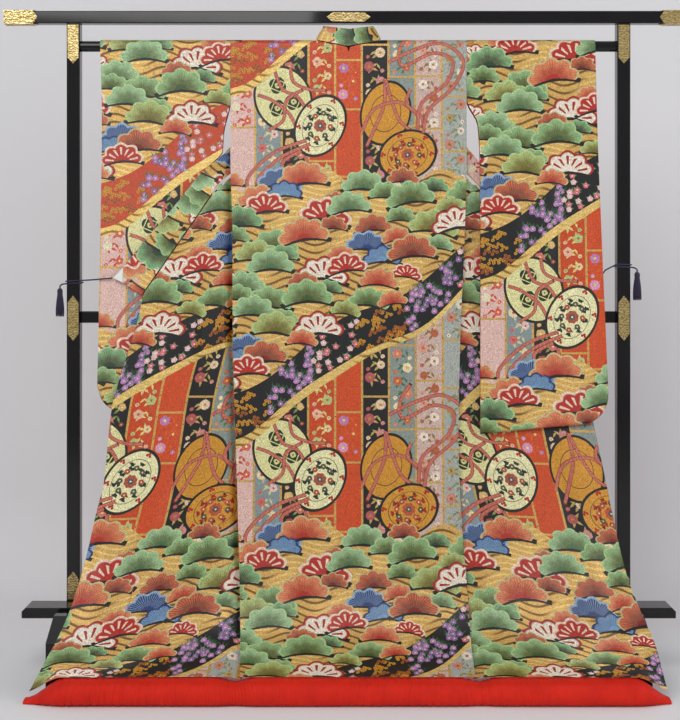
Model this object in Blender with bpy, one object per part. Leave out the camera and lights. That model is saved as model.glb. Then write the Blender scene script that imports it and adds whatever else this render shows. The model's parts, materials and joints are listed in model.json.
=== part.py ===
"""Uchikake wedding kimono, spread back outwards on a lacquered kimono stand.

The frame: X runs to the right across the stand, Y away from the garment's back, Z up from the floor.
Lengths are metres. Heights and widths of the cloth are measured from the hanging bar's axis, and
solid() moves everything by BAR_Y, so that the origin lies under the middle of the whole object.
For each side of the garment, q is the distance out from the middle seam, so X = side * q.
"""
import math

import bmesh
import bpy
import numpy as np
from mathutils import Vector

# Clearance between two pieces, and the walls of the cloth.
GAP = 0.0003
CLOTH = 0.002
COLLAR_THICK = 0.003
TIE_RADIUS = 0.002

# The stand.
POST_X = 0.757
POST_WIDTH = 0.036
POST_DEPTH = 0.040
BEAM_HALF = 0.9465
BEAM_SIZE = 0.034
BEAM_TOP = 1.813
BAR_Z = 1.7175
BAR_RADIUS = 0.015
MIDDLE_RAIL_Z = 0.970
MIDDLE_RAIL_HEIGHT = 0.032
MIDDLE_RAIL_Y = 0.009
MIDDLE_RAIL_DEPTH = 0.020
LOW_RAIL_HALF = 0.880
LOW_RAIL_TOP = 0.191
LOW_RAIL_HEIGHT = 0.028
LOW_RAIL_FRONT = -0.105
FOOT_WIDTH = 0.050
FOOT_REACH = 0.270
FOOT_TOP = 0.184
FOOT_CROWN = 0.166
FOOT_TOE_HEIGHT = 0.138
BRASS = 0.0015

# The garment.
HEM_FRONT = -0.372
BAR_Y = -(FOOT_REACH + HEM_FRONT) / 2
SHOULDER_RADIUS = BAR_RADIUS + 0.0008 + CLOTH
ROLL_TOP = 0.0625
ROLL_HALF_DEPTH = 0.050
HEM_LEFT = 0.827
HEM_RIGHT = 0.816
TIP_START = 0.730
ARMHOLE_Z = 1.570
NECK_HALF = 0.090
NECK_Z = 1.714
ROWS_DOWN = 23
FRONT_ROWS = (1, 1.5, 2, 2.5, 3, 3.5, 4, 4.5)
LOWER_ROWS = (5, 6, 7, 8, 9, 10.5, 12, 13.5, 15, 16.5, 18, 19, 20, 21, 22, 23)
TIP_ROW = 5
COLLAR_END_ROW = 9

# How the cloth falls from the bar to the floor: height, and how far it stands forward of the bar
# in the middle and at the outer edges, which are drawn further forward, clear of the feet.
FALL = (
    # z, y_middle, y_edge
    (1.7175, 0.000, 0.000),
    (1.6200, -0.002, -0.002),
    (1.4500, -0.009, -0.010),
    (1.2500, -0.022, -0.028),
    (1.0500, -0.034, -0.050),
    (0.8000, -0.047, -0.085),
    (0.6000, -0.062, -0.122),
    (0.4000, -0.086, -0.168),
    (0.2800, -0.110, -0.212),
    (0.2000, -0.134, -0.248),
    (0.1450, -0.172, -0.290),
    (0.1050, -0.225, -0.302),
    (0.0800, -0.272, -0.310),
    (0.0648, -0.318, -0.322),
)

# Tables of (height, value). Each pair of tables is (left, right).
SIDE_EDGE = (
    ((0.06, 0.279), (0.165, 0.288), (0.36, 0.296), (0.62, 0.306), (0.915, 0.316), (1.20, 0.318), (1.43, 0.3246),
     (1.74, 0.3246)),
    ((0.06, 0.3214), (0.20, 0.3186), (0.40, 0.306), (0.61, 0.298), (0.90, 0.304), (1.20, 0.318), (1.43, 0.3246),
     (1.74, 0.3246)),
)
PANEL_SEAM = (
    ((0.06, 0.6195), (0.165, 0.589), (0.36, 0.5425), (0.50, 0.511), (0.62, 0.492), (0.75, 0.474), (0.915, 0.435),
     (1.183, 0.377), (1.329, 0.3453)),
    ((0.06, 0.612), (0.165, 0.594), (0.36, 0.556), (0.50, 0.526), (0.62, 0.500), (0.75, 0.474), (0.915, 0.435),
     (1.183, 0.385), (1.329, 0.3453)),
)
OUTER_EDGE = (
    ((0.06, 0.818), (0.10, 0.780), (0.165, 0.741), (0.30, 0.697), (0.47, 0.664), (0.52, 0.652), (0.72, 0.637),
     (0.87, 0.598), (0.96, 0.572), (1.021, 0.560)),
    ((0.06, 0.812), (0.10, 0.797), (0.165, 0.778), (0.30, 0.730), (0.46, 0.700), (0.52, 0.690), (0.72, 0.655),
     (0.87, 0.630), (0.96, 0.612), (1.050, 0.598)),
)
SLEEVE_INNER = (
    ((0.60, 0.374), (1.34, 0.375), (1.39, 0.375), (1.42, 0.3475), (1.48, 0.3430), (ARMHOLE_Z, 0.3252), (1.74, 0.3252)),
    ((0.60, 0.3577), (1.40, 0.3610), (1.50, 0.3560), (ARMHOLE_Z, 0.3252), (1.74, 0.3252)),
)
SLEEVE_OUTER = (
    ((0.60, 0.678), (1.50, 0.678), (1.74, 0.684)),
    ((0.60, 0.702), (1.00, 0.695), (1.74, 0.678)),
)
SLEEVE_BOTTOM = ((0.690, 0.722), (0.6525, 0.691))
SLEEVE_CORNER = 0.070
CREST_DROP = 0.0200
FRONT_SPLIT = 3
FOOT_SEAM = 0.0030
TUCK = ((0.06, 0.003), (0.165, 0.011), (0.36, 0.030), (0.50, 0.045), (0.62, 0.056), (0.75, 0.066), (0.915, 0.088),
        (1.183, 0.112), (1.33, 0.120), (1.43, 0.135), (1.55, 0.170), (1.66, 0.165), (1.74, 0.150))
TURN = ((0.0, math.pi), (1.45, math.pi), (1.54, math.pi), (1.60, 2.9), (1.66, 2.0), (1.71, 0.6), (1.7355, 0.0))
LAPEL = ((1.329, 0.144), (1.36, 0.122), (1.43, 0.083), (1.55, 0.052), (1.66, 0.060), (1.7355, 0.072))
BACK_HALF = ((0.06, 0.000), (0.10, 0.004), (0.20, 0.010), (0.60, 0.0125), (1.30, 0.0125), (1.7175, SHOULDER_RADIUS))
SLEEVE_FRONT = ((0.60, 0.000), (1.30, 0.000), (ARMHOLE_Z, 0.013), (1.7175, SHOULDER_RADIUS))
FRONT_INSIDE = ((0.06, 0.0047), (0.10, 0.003), (0.20, -0.001), (0.60, -0.002), (1.35, -0.002), (1.55, 0.008),
                (1.7175, SHOULDER_RADIUS))
FOLD_LENGTH = ((0.06, 0.003), (0.12, 0.006), (0.30, 0.0126), (1.74, 0.0126))
OUTSPREAD = (
    ((0.06, 0.0), (0.10, -0.004), (0.30, -0.020), (1.20, -0.021), (1.74, -0.021)),
    ((0.06, 0.0), (0.10, 0.001), (0.20, 0.005), (0.45, 0.008), (0.80, 0.009), (1.20, 0.008), (1.74, 0.007)),
)
CROSSING = 0.030

# The ties: their height on each post, how far they sink in a turn, and the tassels.
TIE_LEVEL = (1.071, 1.116)
TIE_PITCH = 0.007
TIE_CLEAR = 0.0008
TASSEL_OUT = 0.036
TASSEL_LENGTH = 0.078
TASSEL_SIDES = 16

LACQUER = (0.006, 0.006, 0.007)
GOLD_BRASS = (0.62, 0.45, 0.16)
BROCADE = (0.55, 0.42, 0.20)
RED_SILK = (0.68, 0.04, 0.015)
PURPLE = (0.035, 0.02, 0.06)
PAPER = (0.80, 0.80, 0.78)


def curve(table, x):
    """Smooth curve through (place, value) rows: cubics whose slopes never run past the rows beside them."""
    knots, values = np.array(table, dtype=float).T
    rates = np.diff(values) / np.diff(knots)
    product = rates[:-1] * rates[1:]
    total = rates[:-1] + rates[1:]
    inside = np.where(product > 0, 2 * product / np.where(product > 0, total, 1.0), 0.0)
    slopes = np.concatenate((rates[:1], inside, rates[-1:]))
    x = np.clip(x, knots[0], knots[-1])
    i = np.clip(np.searchsorted(knots, x) - 1, 0, len(knots) - 2)
    h = knots[i + 1] - knots[i]
    t = (x - knots[i]) / h
    start = (1 + 2 * t) * (1 - t) ** 2 * values[i] + t * (1 - t) ** 2 * h * slopes[i]
    end = t * t * (3 - 2 * t) * values[i + 1] - t * t * (1 - t) * h * slopes[i + 1]
    return start + end


def ramp(x, low, high):
    """Smooth step from 0 at low to 1 at high."""
    t = np.clip((x - low) / (high - low), 0, 1)
    return t * t * (3 - 2 * t)


def fall_tables():
    """The FALL rows by distance down the cloth, from the side of the bar to the hem."""
    rows = np.array(FALL)
    steps = np.hypot(np.diff(rows[:, 0]), np.diff(rows[:, 1]))
    way = np.concatenate(([0.0], np.cumsum(steps)))
    return [np.column_stack((way, rows[:, k])) for k in range(3)], way[-1]


(FALL_Z, FALL_MIDDLE, FALL_EDGE), FALL_LENGTH = fall_tables()
SHOULDER_ARC = math.pi / 2 * SHOULDER_RADIUS
CLOTH_LENGTH = SHOULDER_ARC + FALL_LENGTH
ROW_STEP = FALL_LENGTH / ROWS_DOWN


def cloth_height(s):
    """Height of the cloth's middle layer, s metres down from the top of the shoulder."""
    arc = BAR_Z + SHOULDER_RADIUS * np.cos(np.clip(s, 0, SHOULDER_ARC) / SHOULDER_RADIUS)
    return np.where(s < SHOULDER_ARC, arc, curve(FALL_Z, s - SHOULDER_ARC))


def way_down(z):
    """Distance down the cloth to height z, below the bar."""
    fine = np.linspace(0, FALL_LENGTH, 2001)
    return SHOULDER_ARC + np.interp(-z, -curve(FALL_Z, fine), fine)


def lean(q, s):
    """How far forward of the bar the cloth's middle layer lies, q out from the middle."""
    way = s - SHOULDER_ARC
    middle = curve(FALL_MIDDLE, way)
    edge = curve(FALL_EDGE, way)
    return middle + (edge - middle) * ramp(q, 0.36, 0.72)


def place(side, q, depth, s):
    """Point q out from the middle, s down from the shoulder, and depth behind the cloth's middle layer.

    Depth is measured square to the way the cloth falls, so it turns from backwards to downwards near the floor.
    """
    z = cloth_height(s)
    step = 0.002
    rise = curve(FALL_Z, s - SHOULDER_ARC + step) - curve(FALL_Z, s - SHOULDER_ARC - step)
    reach = lean(q, s + step) - lean(q, s - step)
    size = np.hypot(rise, reach)
    on_bar = s < SHOULDER_ARC + step
    out_y = np.where(on_bar, np.sin(np.clip(s, 0, SHOULDER_ARC) / SHOULDER_RADIUS), -rise / np.maximum(size, 1e-9))
    out_z = np.where(on_bar, 0.0, reach / np.maximum(size, 1e-9))
    tip = ramp(q, TIP_START, HEM_LEFT + 0.01) * ramp(s, CLOTH_LENGTH - 0.16, CLOTH_LENGTH)
    y = lean(q, s) + depth * out_y
    z = z + depth * out_z - 0.040 * tip
    return np.stack((side * q + 0 * z, y + 0 * z, z + 0 * q), axis=-1)


def back_panel(side, u, s):
    """Back of a body width: u runs from the middle seam to the side edge, with soft upright folds low down."""
    k = (side + 1) // 2
    z = cloth_height(s)
    inner = GAP / 2 + (NECK_HALF - GAP / 2) * ramp(z, NECK_Z - 0.004, BAR_Z + SHOULDER_RADIUS)
    q = inner + u * (curve(SIDE_EDGE[k], z) - inner)
    fold = 0.0045 * np.sin(2 * math.pi * (1.5 * u + 0.15 * side)) * ramp(z, 1.3, 0.3) * ramp(z, 0.06, 0.2)
    fold = fold * np.sin(math.pi * u)
    return place(side, q, fold - curve(BACK_HALF, z), s)


def overlay(side, q, s):
    """Depth of an outspread front: the left one comes forward over its sleeve, the right one stays behind."""
    k = (side + 1) // 2
    z = cloth_height(s)
    edge = curve(SIDE_EDGE[k], z)
    inside = curve(FRONT_INSIDE, z) + 2 * curve(FOLD_LENGTH, z) / math.pi
    depth = inside + (curve(OUTSPREAD[k], z) - inside) * ramp(q, edge - 0.001, edge + CROSSING)
    fold = 0.005 * np.sin(28.0 * (q - edge) + 0.8) * ramp(q, edge, edge + 0.10)
    return depth + fold * ramp(z, 0.9, 0.4) * ramp(z, 0.09, 0.2)


def front_panel(side, u, s):
    """Front of a body width, from the side seam (u = 0) to the seam with the overlap or collar (u = 1).

    The row runs inwards behind the back, turns round a fold, and comes out again past the side.
    """
    k = (side + 1) // 2
    z = cloth_height(s)
    edge = curve(SIDE_EDGE[k], z)
    tuck = curve(TUCK, z)
    fold = curve(FOLD_LENGTH, z)
    turn = np.clip(curve(TURN, z), 1e-4, math.pi)
    out = np.where(z < TIP_Z + 0.001, curve(PANEL_SEAM[k], z) - edge + tuck, curve(LAPEL, z))
    leg_in = np.clip(u * 15 / 4, 0, 1) * tuck
    nose = np.clip((u * 15 - 4) / 4, 0, 1) * fold
    step = np.clip(u * 15 - 8, 0, 7)
    crossing = np.clip(out - tuck, 0.0, CROSSING)
    by_edge = np.where(step < 2, step / 2 * tuck, tuck + np.minimum(step - 2, 3) / 3 * crossing)
    by_edge = by_edge + np.clip(step - 5, 0, 2) / 2 * np.maximum(out - tuck - crossing, 0.0)
    near = ramp(out - tuck, 0.0, 2 * CROSSING)
    leg_out = (1 - near) * out * step / 7 + near * by_edge
    radius = fold / turn
    angle = nose / radius
    q = edge - leg_in - radius * np.sin(angle) - leg_out * np.cos(turn)
    behind_back = CLOTH * 2 + GAP - curve(BACK_HALF, z)
    by_sleeve = curve(SLEEVE_FRONT, z)
    seam_depth = behind_back + (by_sleeve - behind_back) * ramp(z, 1.36, 1.50)
    inside = curve(FRONT_INSIDE, z)
    depth = inside + (seam_depth - inside) * (1 - ramp(leg_in, 0, 0.035))
    depth = depth + radius * (1 - np.cos(angle)) + leg_out * np.sin(turn)
    shift = overlay(side, q, s) - inside - 2 * fold / math.pi
    depth = depth + shift * (leg_out > 0) * ramp(z, 1.60, 1.50)
    q = q - GAP * (u > 0.99)
    return place(side, q, depth, s)


def overlap_panel(side, u, s):
    """Overlap width beside the front, from its seam (u = 0) to the outer edge (u = 1)."""
    k = (side + 1) // 2
    z = cloth_height(s)
    seam = curve(PANEL_SEAM[k], z)
    top_q = PANEL_SEAM[k][-1][1] + 0.006
    end_q = OUTER_EDGE[k][-1][1]
    along_collar = top_q + (end_q - top_q) / (TIP_Z - COLLAR_END_Z) * (TIP_Z - z)
    outer = np.where(z > COLLAR_END_Z, along_collar, curve(OUTER_EDGE[k], z))
    q = seam + GAP / 2 + u * (outer - seam - GAP / 2)
    return place(side, q, overlay(side, q, s), s)


TIP_Z = float(cloth_height(SHOULDER_ARC + TIP_ROW * ROW_STEP))
COLLAR_END_Z = float(cloth_height(SHOULDER_ARC + COLLAR_END_ROW * ROW_STEP))


def wall_mesh(outer, thickness, flip=False, square=()):
    """Closed wall from a grid of outer points: the same grid moved in by the thickness, joined round its edges.

    Both faces are cut along the same diagonals, so that the wall keeps its thickness where it twists.
    The rims of the columns in square stay upright, so that two panels meet along them without crossing.
    """
    rows, columns = outer.shape[:2]
    along = np.gradient(outer, axis=0)
    across = np.gradient(outer, axis=1)
    normal = np.cross(across, along)
    normal /= np.linalg.norm(normal, axis=-1, keepdims=True)
    if flip:
        normal = -normal
    for column in square:
        nearly = np.abs(normal[:, column, 0]) < 0.93
        normal[nearly, column, 0] = 0.0
        normal[:, column] /= np.linalg.norm(normal[:, column], axis=-1, keepdims=True)
    inner = outer - normal * thickness
    verts = np.concatenate((outer.reshape(-1, 3), inner.reshape(-1, 3)))
    shift = rows * columns
    faces = []
    for i in range(rows - 1):
        for j in range(columns - 1):
            a = i * columns + j
            b = a + 1
            c = b + columns
            d = a + columns
            for corners in ((a, b, c), (a, c, d)):
                faces.append(corners)
                faces.append(tuple(k + shift for k in corners[::-1]))
    for i in range(rows - 1):
        for j, turned in ((0, True), (columns - 1, False)):
            a = i * columns + j
            d = a + columns
            edge = (a, d, d + shift, a + shift)
            faces.append(edge if turned else edge[::-1])
    for j in range(columns - 1):
        for i, turned in ((0, False), (rows - 1, True)):
            a = i * columns + j
            edge = (a, a + 1, a + 1 + shift, a + shift)
            faces.append(edge if turned else edge[::-1])
    return verts, faces


def material(name, colour, roughness, metallic=0.0):
    """Principled finish of one slot."""
    finish = bpy.data.materials.new(name)
    finish.use_nodes = True
    shader = finish.node_tree.nodes["Principled BSDF"]
    shader.inputs["Base Color"].default_value = (*colour, 1.0)
    shader.inputs["Roughness"].default_value = roughness
    shader.inputs["Metallic"].default_value = metallic
    return finish


def solid(name, verts, faces, finish):
    """Object of one closed body, moved from the bar's frame to the object's own, with its faces pointing out."""
    mesh = bpy.data.meshes.new(name)
    points = np.array(verts, dtype=float) + (0.0, BAR_Y, 0.0)
    mesh.from_pydata(points.tolist(), [], [tuple(face) for face in faces])
    body = bmesh.new()
    body.from_mesh(mesh)
    bmesh.ops.recalc_face_normals(body, faces=body.faces)
    if body.calc_volume(signed=True) < 0:
        bmesh.ops.reverse_faces(body, faces=body.faces)
    body.to_mesh(mesh)
    body.free()
    mesh.materials.append(finish)
    thing = bpy.data.objects.new(name, mesh)
    bpy.context.scene.collection.objects.link(thing)
    return thing


def prism(name, outline, axis, low, high, finish):
    """Outline of (a, b) points drawn in the plane across an axis, and carried from low to high along it."""
    order = {"x": (2, 0, 1), "y": (0, 2, 1), "z": (0, 1, 2)}[axis]
    verts = []
    for end in (low, high):
        for a, b in outline:
            point = (a, b, end)
            verts.append(tuple(point[order[k]] for k in range(3)))
    n = len(outline)
    faces = [tuple(range(n)), tuple(range(2 * n - 1, n - 1, -1))]
    for k in range(n):
        j = (k + 1) % n
        faces.append((k, j, j + n, k + n))
    return solid(name, verts, faces, finish)


def chamfered(half_a, half_b, cut):
    """Rectangle outline with its four corners cut."""
    a, b = half_a, half_b
    return [(a - cut, -b), (a, -b + cut), (a, b - cut), (a - cut, b), (-a + cut, b), (-a, b - cut), (-a, -b + cut),
            (-a + cut, -b)]


def moved(outline, da, db):
    """Outline moved by (da, db)."""
    return [(a + da, b + db) for a, b in outline]


def tube_mesh(path, radius, sides):
    """Tube along a path of points with flat ends; its rings turn with the path and never twist about it."""
    path = np.array(path, dtype=float)
    way = np.gradient(path, axis=0)
    way /= np.linalg.norm(way, axis=1, keepdims=True)
    across = np.cross(way[0], (0.3, 0.8, 0.5))
    turn = np.arange(sides)[:, None] * 2 * math.pi / sides
    verts = []
    for point, direction in zip(path, way):
        across = across - direction * (across @ direction)
        across /= np.linalg.norm(across)
        other = np.cross(direction, across)
        verts.extend(point + radius * (np.cos(turn) * across + np.sin(turn) * other))
    faces = [tuple(range(sides)), tuple(range(len(verts) - 1, len(verts) - sides - 1, -1))]
    for i in range(len(path) - 1):
        for j in range(sides):
            k = (j + 1) % sides
            faces.append((i * sides + j, i * sides + k, (i + 1) * sides + k, (i + 1) * sides + j))
    return verts, faces


def build_stand(lacquer):
    """Black lacquered frame: two feet, two posts, a top beam, the bar for the garment and two rails."""
    beam_z = BEAM_TOP - BEAM_SIZE / 2
    square = chamfered(BEAM_SIZE / 2, BEAM_SIZE / 2, 0.002)
    prism("top_beam", moved(square, 0, beam_z), "x", -BEAM_HALF, BEAM_HALF, lacquer)
    inner = POST_X - POST_WIDTH / 2 - GAP
    turns = [k * math.pi / 8 for k in range(16)]
    round_bar = [(BAR_RADIUS * math.cos(a), BAR_Z + BAR_RADIUS * math.sin(a)) for a in turns]
    prism("hanging_bar", round_bar, "x", -inner, inner, lacquer)
    rail = chamfered(MIDDLE_RAIL_DEPTH / 2, MIDDLE_RAIL_HEIGHT / 2, 0.002)
    prism("middle_rail", moved(rail, MIDDLE_RAIL_Y, MIDDLE_RAIL_Z), "x", -inner, inner, lacquer)
    rail_back = -POST_DEPTH / 2 - GAP
    low_z = LOW_RAIL_TOP - LOW_RAIL_HEIGHT
    bevel = 0.010
    end = LOW_RAIL_HALF
    low_rail = [(-end, low_z), (end, low_z), (end, LOW_RAIL_TOP - bevel), (end - bevel, LOW_RAIL_TOP),
                (-end + bevel, LOW_RAIL_TOP), (-end, LOW_RAIL_TOP - bevel)]
    prism("low_rail", low_rail, "y", LOW_RAIL_FRONT, rail_back, lacquer)
    notch = low_z - GAP
    half = [(FOOT_REACH, 0.0), (FOOT_REACH, FOOT_TOE_HEIGHT), (FOOT_CROWN, FOOT_TOP)]
    foot = half + [(rail_back + GAP, FOOT_TOP), (rail_back + GAP, notch), (LOW_RAIL_FRONT - GAP, notch),
                   (LOW_RAIL_FRONT - GAP, FOOT_TOP)] + [(-y, z) for y, z in reversed(half)]
    for name, side in (("left", -1), ("right", 1)):
        x = side * POST_X
        prism("foot_" + name, foot, "x", x - FOOT_WIDTH / 2, x + FOOT_WIDTH / 2, lacquer)
        post = moved(chamfered(POST_WIDTH / 2, POST_DEPTH / 2, 0.002), x, 0)
        prism("post_" + name, post, "z", FOOT_TOP + GAP, BEAM_TOP - BEAM_SIZE - GAP, lacquer)


def pointed_plate(width, low, high, point_low, point_high):
    """Upright brass plate outline: straight sides with a notched point at either end where its length isn't 0."""
    w = width / 2
    shape = [(-w, low + point_low), (w, low + point_low), (w, high - point_high), (-w, high - point_high)]
    if point_high:
        shape.insert(3, (0.0, high))
    if point_low:
        shape.insert(1, (0.0, low))
    return shape


def build_brass(brass):
    """Chased brass: caps on the beam's ends, a plate at its middle, and three plates on each post, front and back."""
    beam_z = BEAM_TOP - BEAM_SIZE / 2
    for name, side in (("left", -1), ("right", 1)):
        inner_half = BEAM_SIZE / 2 + GAP
        rings = []
        for half, start in ((inner_half + BRASS, 0.0), (inner_half, BRASS)):
            out = BEAM_HALF + GAP + BRASS - start
            for x in (out, BEAM_HALF - 0.078):
                for k in range(8):
                    a, b = ((1, 0), (1, 1), (0, 1), (-1, 1), (-1, 0), (-1, -1), (0, -1), (1, -1))[k]
                    reach = 0.0 if x == out or k % 2 else 0.012
                    rings.append((side * (x - reach), a * half, beam_z + b * half))
        faces = []
        for k in range(8):
            j = (k + 1) % 8
            faces.append((k, j, j + 8, k + 8))
            faces.append((k + 16, k + 24, j + 24, j + 16))
            faces.append((k + 8, j + 8, j + 24, k + 24))
        faces.append(tuple(range(8)))
        faces.append(tuple(range(16, 24)))
        solid("beam_cap_" + name, rings, faces, brass)
    centre = [(-0.060, 0.0), (-0.044, -0.0125), (0.044, -0.0125), (0.060, 0.0), (0.044, 0.0125), (-0.044, 0.0125)]
    beam_face = BEAM_SIZE / 2 + GAP
    post_face = POST_DEPTH / 2 + GAP
    plates = (
        ("top", 1.668, 1.774, 0.016, 0.0),
        ("middle", 0.905, 1.030, 0.020, 0.020),
        ("low", 0.1945, 0.272, 0.0, 0.020),
    )
    for face, out in (("front", -1), ("back", 1)):
        ends = sorted((out * beam_face, out * (beam_face + BRASS)))
        prism("beam_plate_" + face, moved(centre, 0, beam_z), "y", *ends, brass)
        for name, side in (("left", -1), ("right", 1)):
            for level, low, high, point_low, point_high in plates:
                shape = pointed_plate(0.030, low, high, point_low, point_high)
                ends = sorted((out * post_face, out * (post_face + BRASS)))
                prism(f"plate_{level}_{face}_{name}", moved(shape, side * POST_X, 0), "y", *ends, brass)


def build_bodies(brocade):
    """Two body widths, each one length of cloth from the back hem over the bar to the front hem."""
    columns = np.arange(16) / 15
    lengths = np.array((0.0, 0.3, 0.6, 0.8, 1.0)) * SHOULDER_ARC
    below = SHOULDER_ARC + np.concatenate(((0.008, 0.040), ROW_STEP * np.array(FRONT_ROWS + LOWER_ROWS)))
    down = np.concatenate((lengths, below))
    for name, side in (("left", -1), ("right", 1)):
        u, s = np.meshgrid(columns, down)
        back = back_panel(side, u, s)[::-1]
        front = front_panel(side, 1 - u, s)[1:]
        grid = np.concatenate((back, front))
        verts, faces = wall_mesh(grid, CLOTH, flip=side < 0, square=(0, -1))
        solid("body_" + name, verts, faces, brocade)


def build_overlaps(brocade):
    """Two overlap widths, narrow at the top where they meet the collar and broad at the hem."""
    for name, side in (("left", -1), ("right", 1)):
        rows = SHOULDER_ARC + ROW_STEP * np.array(LOWER_ROWS)
        u, s = np.meshgrid(np.linspace(0, 1, 6), rows)
        grid = overlap_panel(side, u, s)
        verts, faces = wall_mesh(grid, CLOTH, flip=side > 0, square=(0, -1))
        solid("overlap_" + name, verts, faces, brocade)


def sleeve_layers(side, c):
    """Upright strips of a sleeve's back, top, and upper and lower front, c from the body (0) to the wrist (1).

    The back layer turns under at the sleeve's foot, and the front one ends just above it.
    """
    k = (side + 1) // 2
    low_in, low_out = SLEEVE_BOTTOM[k]
    round_from = 1 - SLEEVE_CORNER / 0.35
    corner = max(0.0, (c - round_from) / (1 - round_from))
    bottom = low_in + (low_out - low_in) * c + SLEEVE_CORNER * (1 - math.sqrt(1 - corner * corner))
    crest = SHOULDER_ARC + CREST_DROP
    s = crest + GAP + (way_down(bottom + 0.006) - crest - GAP) * np.linspace(0, 1, 13)
    arc = np.concatenate((np.linspace(0, 1, 5) * SHOULDER_ARC, (crest,)))
    strips = []
    for rows in (s, arc):
        z = cloth_height(rows)
        q = curve(SLEEVE_INNER[k], z)
        q = q + c * (curve(SLEEVE_OUTER[k], z) - q)
        strips.append(place(side, q, -curve(BACK_HALF, z), rows))
        strips.append(place(side, q, curve(SLEEVE_FRONT, z), rows))
    back, front, top_back, top_front = strips
    foot = back[-1:] * 0.5 + front[-1:] * 0.5
    foot[:, 2] -= 0.006
    under = front[-1:].copy()
    rise = FOOT_SEAM * (1 + 4 * corner)
    front[-1] += (front[-2] - front[-1]) * rise / np.linalg.norm(front[-2] - front[-1])
    upper, lower = front[:FRONT_SPLIT + 1].copy(), front[FRONT_SPLIT:].copy()
    step = (upper[-1] - upper[-2]) * GAP / 2 / np.linalg.norm(upper[-1] - upper[-2])
    upper[-1] -= step
    lower[0] += step
    return {"back": np.concatenate((back, foot, under)), "front_upper": upper, "front_lower": lower,
            "top": np.concatenate((top_back[::-1], top_front[1:]))}


def build_sleeves(brocade):
    """Two hanging sleeves folded over the bar and sewn at the foot, each as its top, back, and two fronts."""
    places = (0.0, 0.18, 0.40, 0.62, 0.80, 0.88, 0.94, 0.98, 1.0)
    for name, side in (("left", -1), ("right", 1)):
        strips = [sleeve_layers(side, c) for c in places]
        for layer, turned in (("back", side > 0), ("front_upper", side < 0), ("front_lower", side < 0),
                              ("top", side < 0)):
            grid = np.stack([strip[layer] for strip in strips], axis=1)
            verts, faces = wall_mesh(grid, CLOTH, flip=turned, square=(0, -1))
            solid(f"sleeve_{layer}_{name}", verts, faces, brocade)


def collar_half(side):
    """Rows across half the collar, from its held end to the middle of the back neck.

    Outside the neck the collar lies in the outspread front's own layer; round the neck it stands up.
    """
    k = (side + 1) // 2
    steps = np.linspace(0, 1, 4)
    rows = []
    low = SHOULDER_ARC + ROW_STEP * np.arange(COLLAR_END_ROW, TIP_ROW - 1, -1.0)
    high = SHOULDER_ARC + ROW_STEP * np.array(FRONT_ROWS[::-1])
    shoulder = SHOULDER_ARC * np.array((1.0, 0.8, 0.6, 0.3))
    shoulder = np.concatenate(((SHOULDER_ARC + 0.040, SHOULDER_ARC + 0.008), shoulder))
    neck_z = (BAR_Z + SHOULDER_RADIUS - 0.0004, 1.731, 1.7255, 1.719, NECK_Z)
    seam = [overlap_panel(side, np.array(1.0), np.array(s)) for s in low]
    seam += [front_panel(side, np.array(1.0), np.array(s)) for s in np.concatenate((high, shoulder))]
    way = np.concatenate((low, high))
    for z in neck_z:
        drop = (z - BAR_Z) / SHOULDER_RADIUS
        s = SHOULDER_RADIUS * math.acos(min(drop, 1.0)) if drop > 0 else float(way_down(z))
        seam.append(back_panel(side, np.array(0.0), np.array(s)) + (0.0, -0.0026, 0.0030))
    seam = np.array(seam)
    along = np.gradient(seam, axis=0)
    along /= np.linalg.norm(along, axis=1, keepdims=True)
    last = len(seam) - 1
    on_neck = np.arange(len(seam)) > last - len(neck_z)
    turn = np.clip(curve(TURN, seam[:, 2]), 0, math.pi)
    stand = np.where(on_neck, 1.0, ramp(seam[:, 2], 1.66, 1.73))[:, None]
    beside = np.abs(seam[:, 0]) / NECK_HALF
    free = np.stack((-side * np.cos(turn), np.sin(turn), 0 * turn), axis=1)
    upright = np.stack((-0.45 * side * beside, 0.3 + 0 * beside, 1.0 - 0.3 * beside), axis=1)
    lead = free * (1 - stand) + upright * stand
    lead -= (lead * along).sum(axis=1, keepdims=True) * along
    for _ in range(6):
        lead /= np.linalg.norm(lead, axis=1, keepdims=True)
        lead[1:-1] = (lead[:-2] + 2 * lead[1:-1] + lead[2:]) / 4
    lead /= np.linalg.norm(lead, axis=1, keepdims=True)
    flat = len(low) + len(high) - 3
    for i, point in enumerate(seam):
        width = float(curve(((0.0, 0.090), (0.25, 0.052), (0.5, 0.046), (0.8, 0.044), (1.0, 0.052)), i / last))
        start = 0.0035 if i < flat else 0.0045 * (1 - on_neck[i])
        across = start + steps * (width - start)
        if i < flat:
            out = np.concatenate(((0.0,), across))
            q = side * point[0] + 0.845 * out
            s = way[i] - 0.535 * out
            row = place(side, q, overlay(side, q, s), s)
            rows.append(row[1:] + point - row[0])
        else:
            rows.append(point + lead[i] * across[:, None])
    return np.array(rows)


def build_collar(brocade):
    """Long folded collar: held out at both ends, through the side slits, up behind the back and round the neck."""
    grid = np.concatenate((collar_half(-1), collar_half(1)[-2::-1]))
    verts, faces = wall_mesh(grid, COLLAR_THICK, flip=True)
    solid("collar", verts, faces, brocade)


def roll_taper(q):
    """Fullness of the hem roll, 1 along the hem and small at its corners."""
    return 1 - 0.86 * ramp(q, TIP_START - 0.02, HEM_LEFT) ** 1.3


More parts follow.
